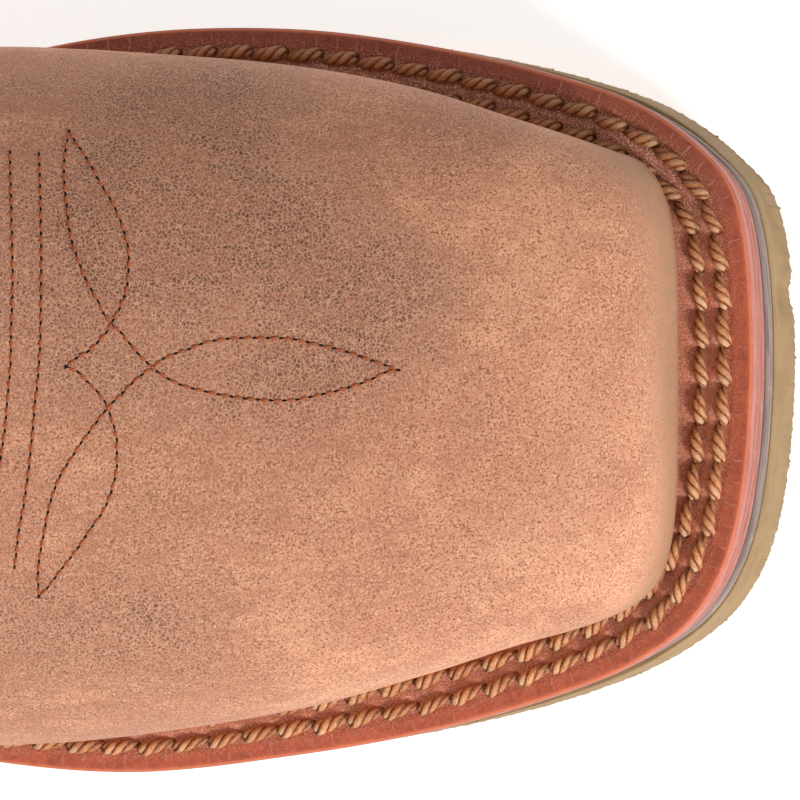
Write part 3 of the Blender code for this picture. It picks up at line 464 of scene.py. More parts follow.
def crease(points):
    # the sum of soft bell troughs and ridges, each along its own short line, of folds round the
    # ankle and of a slow sag of the shaft
    total = np.zeros(points.shape[:-1])
    for x, y, degrees, length, width, depth in creases:
        angle = math.radians(degrees)
        dx, dy = points[..., 0] - x, points[..., 1] - y
        run = dx * math.cos(angle) + dy * math.sin(angle)
        across = -dx * math.sin(angle) + dy * math.cos(angle) + 0.006 * run**2
        total += depth * np.exp(-((run / length) ** 2) - (across / width) ** 2)
    ankle = np.exp(-(((points[..., 2] - 150) / 26) ** 2))
    fold = np.sin((points[..., 2] - 0.35 * points[..., 0]) / 7.5
                  + 0.6 * np.sin(points[..., 1] / 14))
    total += 0.55 * ankle * fold * ease((points[..., 0] - 40) / 60)
    sag = np.sin(points[..., 2] / 31 + points[..., 0] / 23) * np.sin(points[..., 2] / 17 - 1.1)
    total += 0.5 * sag * ease((points[..., 2] - 150) / 60)
    return total


# meshes
def toFrame(points):
    # from the boot's millimetres to the frame's metres
    return (points + shift) * mm


def fromFrame(place):
    return np.array(place) / mm - shift


def addWall(piece, thickness):
    # thickness added inwards, with the last finish on the inside
    solid = piece.modifiers.new("wall", "SOLIDIFY")
    solid.thickness = thickness * mm
    solid.offset = -1
    solid.use_quality_normals = True
    solid.material_offset = len(piece.data.materials) - 1


def faceOutwards(mesh):
    # an open shell's faces must, on the whole, look away from its middle
    centre = sum((face.calc_center_median() for face in mesh.faces), Vector()) / len(mesh.faces)
    outward = sum(face.normal.dot(face.calc_center_median() - centre) for face in mesh.faces)
    if outward < 0:
        bmesh.ops.reverse_faces(mesh, faces=mesh.faces)


def addPiece(name, points, faces, finishes, replaces=(), values=None, uv=None, sharp=40,
             wall=None):
    # points in millimetres; every corner's values become attributes of the mesh
    mesh = bpy.data.meshes.new(name)
    faces = faces.tolist() if isinstance(faces, np.ndarray) else faces
    mesh.from_pydata(toFrame(points.reshape(-1, 3)).tolist(), [], faces)
    for key, value in (values or {}).items():
        layer = mesh.attributes.new(key, "FLOAT", "POINT")
        layer.data.foreach_set("value", np.ascontiguousarray(value, dtype=np.float32).reshape(-1))
    if uv is not None:
        layer = mesh.uv_layers.new(name="run")
        layer.data.foreach_set("uv", uv.astype(np.float32).reshape(-1))
    tidy = bmesh.new()
    tidy.from_mesh(mesh)
    bmesh.ops.remove_doubles(tidy, verts=tidy.verts, dist=2e-6)
    bmesh.ops.dissolve_degenerate(tidy, edges=tidy.edges, dist=1e-6)
    bmesh.ops.recalc_face_normals(tidy, faces=tidy.faces)
    if wall:
        faceOutwards(tidy)
    tidy.to_mesh(mesh)
    tidy.free()
    mesh.shade_smooth()
    mesh.set_sharp_from_angle(angle=math.radians(sharp))
    piece = bpy.data.objects.new(name, mesh)
    bpy.context.scene.collection.objects.link(piece)
    for finish in finishes:
        mesh.materials.append(finish)
    if wall:
        addWall(piece, wall)
    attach(piece, "root")
    if replaces:
        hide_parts(*replaces)
    return piece


def capFaces(count):
    # rungs from the inner to the outer side of a ring that starts at the toe tip
    half = count // 2
    k = np.arange(1, half - 1)
    quads = np.stack([k, k + 1, count - k - 1, count - k], axis=1)
    return quads.tolist() + [[0, 1, count - 1], [half - 1, half, half + 1]]


def sweptRound(profile, places):
    # a profile of (inset, level) pairs carried round the outline
    rings = [onSole(pick(insetLoop(outline, d), places), level) for d, level in profile]
    return np.stack(rings, axis=1)


def slabFaces(count, rings):
    # side walls between the rings, and rungs over the first and the last ring
    faces = gridFaces(count, rings, closeRows=True).tolist()
    for ring in (0, rings - 1):
        faces += [[c * rings + ring for c in cap] for cap in capFaces(count)]
    return faces


# material maths
def srgb(text):
    # a web colour as linear red, green, blue, alpha
    parts = [int(text[k:k + 2], 16) / 255 for k in (1, 3, 5)]
    return tuple(c / 12.92 if c <= 0.04045 else ((c + 0.055) / 1.055) ** 2.4 for c in parts) + (1,)


class Wire:
    # an output socket; the usual operators add Math nodes
    def __init__(self, finish, socket):
        self.finish, self.socket = finish, socket

    def maths(self, operation, first, second):
        return self.finish.node("ShaderNodeMath", {"operation": operation}, {0: first, 1: second})

    def __add__(self, other):
        return self.maths("ADD", self, other)

    def __radd__(self, other):
        return self.maths("ADD", other, self)

    def __sub__(self, other):
        return self.maths("SUBTRACT", self, other)

    def __rsub__(self, other):
        return self.maths("SUBTRACT", other, self)

    def __mul__(self, other):
        return self.maths("MULTIPLY", self, other)

    def __rmul__(self, other):
        return self.maths("MULTIPLY", other, self)

    def __truediv__(self, other):
        return self.maths("DIVIDE", self, other)

    def within(self, low, high):
        # 0 at low, 1 at high, eased between
        return self.finish.node(
            "ShaderNodeMapRange", {"interpolation_type": "SMOOTHSTEP"},
            {"Value": self, "From Min": low, "From Max": high})

    def clipped(self):
        return self.finish.node("ShaderNodeClamp", {}, {"Value": self})


class Finish:
    # a Principled material; node() makes any node from its settings and socket values
    def __init__(self, name, **uniform):
        self.material = bpy.data.materials.new(name)
        self.material.use_nodes = True
        self.tree = self.material.node_tree
        self.shader = self.tree.nodes["Principled BSDF"]
        for key, value in uniform.items():
            self.shader.inputs[key.replace("_", " ")].default_value = value
        place = self.tree.nodes.new("ShaderNodeTexCoord")
        # the place on the boot, in millimetres
        self.here = self.vector("MULTIPLY", Wire(self, place.outputs["Object"]), (1 / mm,) * 3)

    def node(self, kind, settings, values, out=0):
        made = self.tree.nodes.new(kind)
        for key, value in settings.items():
            if key == "stops":
                ramp = made.color_ramp
                while len(ramp.elements) < len(value):
                    ramp.elements.new(0.5)
                for element, (place, color) in zip(ramp.elements, value):
                    element.position, element.color = place, color
            else:
                setattr(made, key, value)
        for key, value in values.items():
            if isinstance(value, Wire):
                self.tree.links.new(value.socket, made.inputs[key])
            else:
                made.inputs[key].default_value = value
        return Wire(self, made.outputs[out])

    def vector(self, operation, first, second):
        return self.node("ShaderNodeVectorMath", {"operation": operation}, {0: first, 1: second})

    def noise(self, scale, detail, roughness, where=None):
        return self.node("ShaderNodeTexNoise", {}, {
            "Vector": where or self.here, "Scale": scale, "Detail": detail,
            "Roughness": roughness})

    def cells(self, scale, feature="F1", where=None):
        return self.node("ShaderNodeTexVoronoi", {"feature": feature}, {
            "Vector": where or self.here, "Scale": scale})

    def mix(self, factor, first, second):
        return self.node("ShaderNodeMix", {"data_type": "RGBA"},
                         {0: factor, 6: first, 7: second}, 2)

    def ramp(self, factor, stops):
        return self.node("ShaderNodeValToRGB", {"stops": stops}, {0: factor})

    def attribute(self, name):
        return self.node("ShaderNodeAttribute", {"attribute_name": name}, {}, "Fac")

    def run(self, scale=(1, 1, 1)):
        uv = self.node("ShaderNodeUVMap", {"uv_map": "run"}, {})
        return self.vector("MULTIPLY", uv, scale)

    def axis(self, vector, name):
        return self.node("ShaderNodeSeparateXYZ", {}, {0: vector}, name)

    def blob(self, centre, radii, soft):
        # 1 inside an ellipsoid round centre (millimetres), easing to 0 over the soft share
        away = self.vector("SUBTRACT", self.here, tuple(centre))
        away = self.vector("DIVIDE", away, tuple(radii))
        size = self.node("ShaderNodeVectorMath", {"operation": "LENGTH"}, {0: away}, "Value")
        return 1 - size.within(1 - soft, 1 + soft)

    def bump(self, height, strength, distance):
        return self.node("ShaderNodeBump", {}, {
            "Height": height, "Strength": strength, "Distance": distance * mm})

    def done(self, **links):
        for key, value in links.items():
            self.tree.links.new(value.socket, self.shader.inputs[key.replace("_", " ")])
        return self.material


# camera: the photograph looks down on the toe, tilted towards it
view = {
    "aim": (95.0, 0.13, 30.9), "distance": 842.0, "tilt": 13.0, "lens": 250.0, "sensor": 36.0,
    "pixels": 800,
}


def cameraAxes():
    # to the picture's right, back from the scene, and where the camera stands
    tilt = math.radians(view["tilt"])
    right = np.array([math.cos(tilt), 0, -math.sin(tilt)])
    back = np.array([math.sin(tilt), 0, math.cos(tilt)])
    return right, back, (np.array(view["aim"]) + back * view["distance"]) * mm


def addCamera():
    # it turns about the boot's width alone
    data = bpy.data.cameras.new("view")
    data.lens, data.sensor_width, data.clip_end = view["lens"], view["sensor"], 20
    camera = bpy.data.objects.new("view", data)
    camera.location = cameraAxes()[2]
    camera.rotation_euler = (0, math.radians(view["tilt"]), 0)
    bpy.context.scene.collection.objects.link(camera)
    bpy.context.scene.camera = camera


def sightLine(pixel):
    # from the camera through a place in the square picture
    right, back, start = cameraAxes()
    width = view["sensor"] / view["lens"] / view["pixels"]
    middle = view["pixels"] / 2
    run = (right * (pixel[0] - middle) + np.array([0, 1, 0]) * (middle - pixel[1])) * width - back
    return Vector(start), Vector(unit(run))


addCamera()

# finishes
tones = {
    "tan": srgb("#D99C79"), "rosy": srgb("#C48467"), "ash": srgb("#87594A"),
    "burnt": srgb("#4E3025"), "speck": srgb("#7C4630"), "pale": srgb("#EDC2A2"),
    # edge: the worn band's khaki, dark enough to stand as painted shade where the side falls away
    "edge": srgb("#977355"), "web": srgb("#D7A080"),
}


def leatherFinish(name, zones=(), dark=0.35):
    # clouds of burnish over rosy tan, mottled, with dark specks, and where the burnish is deep
    # a web of fine pale wrinkles; the last millimetres above the sole are smooth and khaki,
    # darkened as painted shade where the side falls away
    finish = Finish(name, Specular_IOR_Level=0.2)
    cloud = finish.noise(0.05, 3, 0.55)
    mottle = finish.noise(0.23, 4, 0.62)
    grain = finish.noise(1.5, 3, 0.6)
    pores = finish.noise(3.1, 2, 0.55)
    streak = finish.noise(0.55, 4, 0.62, finish.vector("MULTIPLY", finish.here, (0.09, 1, 1)))
    rim = finish.attribute("rim")
    edge = 1 - rim.within(19.0, 29.0)
    # the toe's front, where the painted shade on the worn band is deepest
    front = finish.axis(finish.here, "X").within(112, 128)
    burnish = dark + (cloud - 0.5) * 1.1 + (mottle - 0.5) * 0.7 + (streak - 0.5) * 0.5
    for centre, radii, amount in zones:
        burnish = burnish + finish.blob(centre, radii, 0.75) * amount
    burnish = (burnish * (1 - edge * 0.7)).clipped()
    color = finish.mix((burnish * 1.08).clipped(), tones["tan"], tones["ash"])
    color = finish.mix(cloud.within(0.42, 0.66) * 0.55, color, tones["rosy"])
    color = finish.mix(streak.within(0.5, 0.68) * 0.5 * burnish, color, tones["burnt"])
    color = finish.mix(burnish.within(0.62, 1.0) * 0.5, color, tones["burnt"])
    color = finish.mix((1 - grain.within(0.32, 0.5)) * (0.2 + burnish * 0.45), color,
                       tones["burnt"])
    specks = (1 - pores.within(0.34, 0.47)) * (1 - edge * 0.75)
    color = finish.mix(specks * 0.85, color, tones["speck"])
    color = finish.mix(pores.within(0.54, 0.66) * 0.5, color, tones["pale"])
    # painted shade: the worn band is darkened, most at the toe's front, where the side falls away
    # from the light
    color = finish.mix(edge * (0.45 + front * 0.35), color, tones["edge"])
    bent = finish.node("ShaderNodeTexNoise", {}, {"Vector": finish.here, "Scale": 0.9}, "Color")
    bent = finish.vector("ADD", finish.here, finish.vector("MULTIPLY", bent, (0.9, 0.9, 0.9)))
    web = finish.cells(1.7, "DISTANCE_TO_EDGE", bent)
    thin = finish.cells(3.4, "DISTANCE_TO_EDGE", bent)
    deep = burnish.within(0.30, 0.72)
    veil = ((1 - web.within(0.02, 0.12)) * 0.9 + (1 - thin.within(0.02, 0.12)) * 0.6) * deep
    cell = web.within(0.10, 0.36) * deep
    color = finish.mix(cell * 0.75, color, tones["burnt"])
    color = finish.mix((veil * 0.75).clipped(), color, tones["web"])
    color = finish.mix(streak.within(0.44, 0.6) * 0.3, color, tones["rosy"])
    rough = 0.68 + (grain - 0.5) * 0.3 + (pores - 0.5) * 0.3
    height = grain * 0.3 + pores * 0.55 + veil * 0.3 + mottle * 0.35
    normal = finish.bump(height, 0.6, 0.22)
    return finish.done(Base_Color=color, Roughness=rough, Normal=normal)


def trimFinish(name):
    # the same hide, plainer and darker, for straps, piping, binding and insole
    finish = Finish(name, Specular_IOR_Level=0.4)
    mottle = finish.noise(0.3, 4, 0.6)
    pores = finish.noise(2.4, 3, 0.6)
    color = finish.mix(mottle.within(0.3, 0.7), srgb("#8A5B42"), srgb("#6B4230"))
    color = finish.mix((1 - pores.within(0.35, 0.5)) * 0.5, color, srgb("#4A2C1F"))
    normal = finish.bump(pores * 0.6 + mottle * 0.4, 0.5, 0.2)
    return finish.done(Base_Color=color, Roughness=0.55 + (pores - 0.5) * 0.3, Normal=normal)


def liningFinish(name):
    # a smooth pale hide inside the shaft
    finish = Finish(name, Specular_IOR_Level=0.3)
    mottle = finish.noise(0.15, 4, 0.6)
    pores = finish.noise(1.8, 3, 0.6)
    color = finish.mix(mottle.within(0.3, 0.7), srgb("#B89572"), srgb("#A07E5E"))
    color = finish.mix((1 - pores.within(0.35, 0.5)) * 0.4, color, srgb("#7E6046"))
    normal = finish.bump(pores, 0.4, 0.15)
    return finish.done(Base_Color=color, Roughness=0.7 + (pores - 0.5) * 0.2, Normal=normal)


def weltFinish(name):
    # salmon hide with a bright cut corner, a streaky pink wall below it, faint cross lines, grit
    # beside the stitches and painted shade on the inner side; the run holds millimetres along and
    # across, negative on the wall
    finish = Finish(name, Specular_IOR_Level=0.35)
    run = finish.run()
    across = finish.axis(run, "Y")
    along = finish.axis(run, "X")
    side = finish.axis(finish.here, "Y")
    row = finish.attribute("row")
    mottle = finish.noise(0.35, 4, 0.62)
    grit = finish.noise(4.2, 2, 0.7)
    fine = finish.noise(1.3, 4, 0.65)
    color = finish.mix(mottle.within(0.35, 0.66), srgb("#C9674A"), srgb("#B25740"))
    between = across.within(3.2, 4.6) * (0.45 + mottle * 0.6)
    color = finish.mix(between.clipped(), color, srgb("#CC8470"))
    color = finish.mix(row * 0.6, color, srgb("#E88A68"))
    color = finish.mix((1 - fine.within(0.35, 0.5)) * 0.3, color, srgb("#7E3828"))
    # painted shade on the inner side, where the upper shades the welt
    shade = side.within(16, 42)
    color = finish.mix(shade * 0.6, color, srgb("#6A2A18"))
    tooth = finish.node("ShaderNodeMath", {"operation": "FRACT"},
                        {0: along / 3.4 + (fine - 0.5) * 0.3 + mottle * 0.5})
    line = tooth.within(0.0, 0.05) * (1 - tooth.within(0.05, 0.11)) * mottle.within(0.4, 0.6)
    line = line * (1 - across.within(2.4, 3.2)) * across.within(0.3, 0.8)
    color = finish.mix(line * 0.5, color, srgb("#E4A890"))
    dust = grit.within(0.52, 0.6) * (0.1 + row * 0.9)
    color = finish.mix((dust * 0.9).clipped(), color, srgb("#F0C4A8"))
    pits = (1 - grit.within(0.36, 0.44)) * (0.15 + row * 0.6)
    color = finish.mix(pits * 0.6, color, srgb("#7A3A2A"))
    layers = finish.noise(2.3, 3, 0.65, finish.run((0.05, 1.0, 1.0)))
    wall = finish.mix(layers.within(0.38, 0.62), srgb("#C47868"), srgb("#A85A4C"))
    wall = finish.mix((fine.within(0.55, 0.7)) * 0.35, wall, srgb("#DCA294"))
    color = finish.mix(1 - across.within(-0.75, -0.35), color, wall)
    corner = across.within(-0.5, -0.15) * (1 - across.within(0.0, 0.45))
    color = finish.mix(corner * 0.7, color, srgb("#E07A50"))
    rough = 0.45 + mottle * 0.2 + dust * 0.3
    normal = finish.bump(fine * 0.5 + dust * 0.6 + line * 0.5, 0.5, 0.2)
    return finish.done(Base_Color=color, Roughness=rough, Normal=normal)


def ropeFinish(name):
    # twisted waxed cord: fibres along each strand, painted shade in the grooves and painted light
    # on the crests, a painted highlight at each stitch's start, painted shade towards its end and
    # on the inner side
    finish = Finish(name, Specular_IOR_Level=0.45)
    fibre = finish.noise(2.6, 3, 0.65, finish.run((0.7, 7.0, 1.0)))
    patch = finish.noise(0.8, 2, 0.5)
    outward = finish.attribute("outward")
    along = finish.attribute("along")
    tone = finish.attribute("tone")
    # painted shade and light: strand faces turned in to the grooves go near black, crests facing
    # out go bright
    color = finish.ramp(outward.within(-0.25, 1.0), [
        (0.0, srgb("#2E1408")), (0.42, srgb("#964C24")), (0.7, srgb("#D07C44")),
        (1.0, srgb("#F0A86E"))])
    # painted highlight on the outward faces at each stitch's start
    color = finish.mix((1 - along.within(0.0, 0.5)) * 0.75 * outward.within(0.4, 0.9), color,
                       srgb("#FFD9AC"))
    # painted shade towards the end that dives into the hole
    color = finish.mix(along.within(0.35, 0.95) * 0.5, color, srgb("#7A3E1C"))
    color = finish.mix(fibre.within(0.52, 0.64) * 0.55, color, srgb("#F6CDA8"))
    color = finish.mix((1 - fibre.within(0.34, 0.48)) * 0.6, color, srgb("#5E3119"))
    # painted shade on the inner side, away from the lamp
    shade = finish.axis(finish.here, "Y").within(10, 40)
    color = finish.mix(shade * 0.55, color, srgb("#7E421E"))
    color = finish.mix(tone * 0.3, color, srgb("#A0582C"))
    color = finish.mix(patch.within(0.5, 0.7) * 0.3, color, srgb("#8A4C24"))
    normal = finish.bump(fibre + patch * 0.4, 0.7, 0.22)
    return finish.done(Base_Color=color, Roughness=0.42 + (fibre - 0.5) * 0.35, Normal=normal)


def threadFinish(name, light, darkTone):
    # fine twisted thread: slanting plies on the stitch's own run
    finish = Finish(name, Specular_IOR_Level=0.4)
    run = finish.run()
    ply = finish.axis(run, "X") * 2.6 + finish.axis(run, "Y") * 2.0
    wave = finish.node("ShaderNodeMath", {"operation": "SINE"}, {0: ply * math.tau})
    tone = finish.noise(1.1, 2, 0.5)
    color = finish.mix(wave.within(-0.6, 0.9), darkTone, light)
    color = finish.mix((1 - tone.within(0.35, 0.6)) * 0.4, color, darkTone)
    normal = finish.bump(wave, 0.5, 0.08)
    return finish.done(Base_Color=color, Normal=normal)


def layeredFinish(name, base, streak, scuffed, bands, rough):
    # an edge of thin streaky layers along the sole, with scuffs
    finish = Finish(name, Specular_IOR_Level=0.35)
    run = finish.run((0.06, 1.0, 1.0))
    layers = finish.noise(bands, 3, 0.65, run)
    scuff = finish.noise(0.5, 4, 0.65)
    fine = finish.noise(3.0, 2, 0.6)
    color = finish.mix(layers.within(0.36, 0.62), base, streak)
    color = finish.mix(scuff.within(0.55, 0.75) * 0.5, color, scuffed)
    rough = rough + (fine - 0.5) * 0.25 + scuff * 0.1
    normal = finish.bump(layers * 0.7 + fine * 0.4, 0.5, 0.2)
    return finish.done(Base_Color=color, Roughness=rough, Normal=normal)


def rubberFinish(name, base, dirt, crumb, rough):
    # moulded rubber: fine pebble, dusty hollows and scattered crumbs
    finish = Finish(name, Specular_IOR_Level=0.35)
    scuff = finish.noise(0.16, 4, 0.62)
    fine = finish.noise(2.4, 3, 0.6)
    pebble = finish.cells(1.6)
    color = finish.mix(scuff.within(0.4, 0.7) * 0.6, base, dirt)
    color = finish.mix(fine.within(0.6, 0.72) * 0.5, color, crumb)
    color = finish.mix((1 - fine.within(0.3, 0.42)) * 0.35, color, dirt)
    color = finish.mix(finish.attribute("trim").within(0.4, 0.9) * 0.75, color, srgb("#C98A35"))
    normal = finish.bump(fine * 0.6 + pebble * 0.4, 0.4, 0.25)
    return finish.done(Base_Color=color, Roughness=rough + (fine - 0.5) * 0.2, Normal=normal)


def stackFinish(name):
    # stacked leather lifts, banded by height
    finish = Finish(name, Specular_IOR_Level=0.4)
    streak = finish.noise(1.6, 4, 0.65, finish.vector("MULTIPLY", finish.here, (0.06, 0.06, 1)))
    blot = finish.noise(0.12, 3, 0.6)
    fine = finish.noise(2.2, 3, 0.6)
    color = finish.mix(streak.within(0.35, 0.66), srgb("#6B4027"), srgb("#8F5B3A"))
    color = finish.mix(blot.within(0.45, 0.75) * 0.5, color, srgb("#4C2B1B"))
    normal = finish.bump(streak * 0.7 + fine * 0.3, 0.45, 0.2)
    return finish.done(Base_Color=color, Roughness=0.5 + (fine - 0.5) * 0.25, Normal=normal)


trimLeather = trimFinish("trim_leather")
lining = liningFinish("lining_leather")
welting = weltFinish("welt_leather")
rope = ropeFinish("rope_thread")
rustThread = threadFinish("rust_thread", srgb("#C96E3E"), srgb("#96451F"))
tanThread = threadFinish("tan_thread", srgb("#B98258"), srgb("#7A4A2C"))
midsoleRubber = layeredFinish(
    "midsole_layers", srgb("#BC7566"), srgb("#9E5A4E"), srgb("#D39A8C"), 2.2, 0.55)
foamRubber = layeredFinish(
    "foam_layer", srgb("#9A8880"), srgb("#7E6F69"), srgb("#B8A498"), 1.4, 0.8)
outsoleRubber = rubberFinish(
    "outsole_rubber", srgb("#A0835D"), srgb("#8A6F4A"), srgb("#C4A46E"), 0.8)
heelStack = stackFinish("heel_stack")
insoleLeather = trimFinish("insole_leather")
print("finishes ready")

# sole
soleDetail = {
    "places": 760, "grooves": (4.1, 7.7), "grooveWidth": 1.25, "grooveDepth": 0.35,
    "fullMargin": 9.4, "tuck": 2.2, "under": 2.4, "flare": 0.4, "lean": 0.11,
    "leanStart": 255.0,
}
roundPlaces = evenPlaces(soleDetail["places"])
roundStations = pick(outline, roundPlaces)


def marginShare():
    # how much of the rows' usual distance from the edge there is room for
    return np.minimum(1, (margin + soleDetail["tuck"]) / soleDetail["fullMargin"])


def toeShares():
    # 0 along the sides, rising to 1 at the toe's tip
    start = soleDetail["leanStart"]
    return ease((outline[:, 0] - start) / (sole["length"] - start)) ** 2


# how far from the corner the welt is dusty, and how wide each dusty stripe is
dustLines = {"rows": (4.3, 7.2, 10.2), "reach": 1.7}


def rowDistance(index):
    # how far inside the edge a row of rope stitches runs
    return soleDetail["grooves"][index] * marginShare()


def addWelt():
    # rim, top with a groove under each stitch row, and the inner edge below the leather
    share = marginShare()
    flat = [1.6, 2.3, 2.8, 3.15, 3.5, 3.8, 4.1, 4.4, 4.7, 5.05, 5.4, 5.9, 6.4, 6.75, 7.1, 7.4,
            7.7, 8.0, 8.3, 8.7, 9.2]
    dips = np.zeros(len(flat))
    for centre in soleDetail["grooves"]:
        dips -= soleDetail["grooveDepth"] * np.exp(
            -(((np.array(flat) - centre) / soleDetail["grooveWidth"]) ** 4))
    inner = margin + soleDetail["under"]
    flare = soleDetail["flare"] * toeShares()
    profile = [(d - flare * (level - sole["gap"]) / sole["welt"], level) for d, level in leaned((
        (0.4, sole["gap"]), (0.08, 0.75), (0.0, 1.5), (0.0, 2.7), (0.08, 3.3),
        (0.3, 3.65), (0.7, weltTop)))]
    profile.append((1.1 * share - flare * 0.45, weltTop + 0.02))
    profile += [(d * share, weltTop + dip) for d, dip in zip(flat, dips)]
    last = flat[-1] * share
    profile += [(last + (inner - last) * s, weltTop) for s in (0.33, 0.66, 1.0)]
    profile += [(inner, sole["gap"])]
    grid = sweptRound(profile, roundPlaces)
    # the rim's rings, hand cut, rise and fall a little
    wave = 0.09 * np.sin(roundStations[:, 0] / 9.0) * np.sin(roundStations[:, 1] / 7.0)
    grid[:, 1:8, 2] += wave[:, None]
    count, rings = grid.shape[:2]
    faces = gridFaces(count, rings, True, True)
    # how far each ring lies inside the top corner, below 0 down the wall
    depth = np.array([-3.4, -2.9, -2.2, -1.1, -0.5, 0.0, 0.45, 1.0] + flat
                     + [10.5, 12, 13.5, 17, 18])
    uv = runMap(faces, rings, lengthsAlong(roundStations, True), depth)
    near = sum(np.exp(-((depth[:-1] - c) / dustLines["reach"]) ** 2)
               for c in dustLines["rows"])
    values = {"row": np.broadcast_to(np.minimum(near, 1), (count, rings))}
    addPiece("welt_strip", grid, faces, [welting], ["welt"], values, uv, 50)


def slabRun(count, rings, profile):
    # millimetres along and down the wall for the run map of a slab's side faces
    faces = gridFaces(count, rings, closeRows=True)
    depth = np.array([level for _, level in profile])
    walls = runMap(faces, rings, lengthsAlong(roundStations, True), depth).reshape(-1, 2)
    corners = sum(len(face) for face in slabFaces(count, rings)) - len(walls)
    return np.concatenate([walls, np.zeros((corners, 2))])


def leaned(profile):
    # insets that grow with the depth below the welt's top, round the toe alone
    lean = soleDetail["lean"] * toeShares()
    return [(d + lean * (weltTop - level), level) for d, level in profile]


def addSlab(name, profile, finish, node):
    # one flat layer of the sole, its edge made from a profile of (inset, level) pairs
    grid = sweptRound(leaned(profile), roundPlaces)
    count, rings = grid.shape[:2]
    addPiece(name, grid, slabFaces(count, rings), [finish], [node],
             uv=slabRun(count, rings, profile))


def addMidsole():
    inset, low = sole["midsoleInset"], -sole["midsole"]
    addSlab("midsole_edge", [
        (inset + 0.5, 0.0), (inset + 0.08, -0.3), (inset, -0.9), (inset, -1.9),
        (inset + 0.12, -2.1), (inset, -2.35), (inset, -3.4), (inset + 0.1, -3.95),
        (inset + 0.5, low),
    ], midsoleRubber, "midsole")


def addFoam():
    inset = sole["foamInset"] * (1 - 0.9 * toeShares())
    top = -sole["midsole"] - sole["gap"]
    addSlab("foam_slip", [
        (inset + 0.4, top), (inset + 0.05, top - 0.3), (inset, top - 0.9), (inset, top - 1.5),
        (inset + 0.05, top - 2.1), (inset + 0.2, top - sole["slip"]),
    ], foamRubber, "foam_layer")


def addInsole():
    # a board inside the upper, its top corner bevelled
    clear, top = margin + shaft["wall"] + 2 * sole["gap"], sole["gap"] + sole["insole"]
    grid = sweptRound([
        (clear, sole["gap"]), (clear, top - 0.7), (clear + 0.7, top)], roundPlaces)
    addPiece("insole_board", grid, slabFaces(len(grid), 3), [insoleLeather],
             ["insole"])


tread = {
    "places": 2400, "ramp": 0.35, "toeRim": 88.0, "nick": (6.0, 11.0), "nickDepth": 0.6,
    "flash": (0.07, 0.09), "nub": 0.35, "nubEvery": 97, "nubWidth": 1.2,
}


def lugPattern(places):
    # 1 under a rim lug, 0 between lugs and behind the tread; distances run from the toe tip
    total = lengthsAlong(outline, True)
    innerLength = total[halfway]
    outerLength = total[-1] - innerLength
    along = np.interp(places, np.arange(len(total)), total)
    onInner = along <= innerLength
    share = np.where(onInner, along / innerLength, (total[-1] - along) / outerLength)
    length = min(innerLength, outerLength)
    inner = outline[: halfway + 1]
    reach = np.interp(-sole["treadStart"], -inner[:, 0], shares(inner)) * length
    q = share * length
    pitch = sole["lugLength"] + sole["lugSpace"]
    first = last = tread["toeRim"]
    while last + pitch < reach:
        last += pitch
    phase = np.mod(q - first, pitch)
    ramp = tread["ramp"]
    lug = np.where(
        q < first + ramp, 1 - np.clip((q - first) / ramp, 0, 1),
        np.clip((phase - sole["lugSpace"]) / ramp, 0, 1) * np.clip((pitch - phase) / ramp, 0, 1))
    low, high = tread["nick"]
    nick = np.clip((q - low) / 0.5, 0, 1) * np.clip((high - q) / 0.9, 0, 1) * onInner
    return lug * np.clip((last - q) / ramp + 1, 0, 1), nick * tread["nickDepth"]


def addOutsole():
    # rim with lugs, a fine moulding flash and nubs, and bars inside the rim
    places = evenPlaces(tread["places"])
    lug, nick = lugPattern(places)
    bottom = slabBottom - sole["lugDepth"] * lug
    stations = pick(outline, places)
    number = np.arange(len(places))
    slow, quick = tread["flash"]
    flash = slow * np.sin(stations[:, 0] * 1.7) * np.sin(stations[:, 1] * 2.3)
    flash += quick * np.sin(number * 1.31) * np.sin(number * 0.37)
    nickLoop = np.interp(np.arange(len(outline)), places, nick)
    away = np.mod(number * 7.31, tread["nubEvery"]) - tread["nubEvery"] // 2
    nubs = np.exp(-(away / tread["nubWidth"]) ** 2) * tread["nub"]
    rim = sole["rimLug"]
    profile = [
        (0.7, outsoleTop), (0.15, outsoleTop - 0.12), (0.0, outsoleTop - 0.6),
        (nickLoop * 0.3, outsoleTop - 2.2), (0.08 + nickLoop, outsoleTop - 2.5),
        (nickLoop, outsoleTop - 2.8), (nickLoop, slabBottom + 1.0),
        (0.02 + nickLoop, np.minimum(slabBottom + 0.5, bottom + 0.9)),
        (nickLoop, bottom + 0.5), (0.35 + nickLoop, bottom), (rim - 0.6, bottom),
        (rim, bottom + 0.6 * lug), (rim + 0.3, slabBottom),
    ]
    rings = []
    lowEdge = 8  # the ring at the rim's lower edge, with the flash on it and its neighbours
    for ring, (d, level) in enumerate(profile):
        back = soleDetail["lean"] * toeShares() * (weltTop - np.mean(level))
        plan = pick(insetLoop(outline, d + back), places)
        if abs(ring - lowEdge) < 2:
            outward = unit(plan - stations.mean(axis=0))
            plan = plan + (flash + nubs * (ring == lowEdge))[:, None] * outward
        rings.append(onSole(plan, level))
    grid = np.stack(rings, axis=1)
    faces = slabFaces(len(grid), len(profile))
    bars, barFaces = chevronBars(grid.shape[0] * grid.shape[1])
    trim = np.zeros(grid.shape[:2])
    trim[:, lowEdge:lowEdge + 2] = 1
    trim = np.concatenate([trim.reshape(-1), np.zeros(len(bars))])
    addPiece("outsole_tread", np.concatenate([grid.reshape(-1, 3), bars]), faces + barFaces,
             [outsoleRubber], ["outsole"], {"trim": trim}, sharp=35)


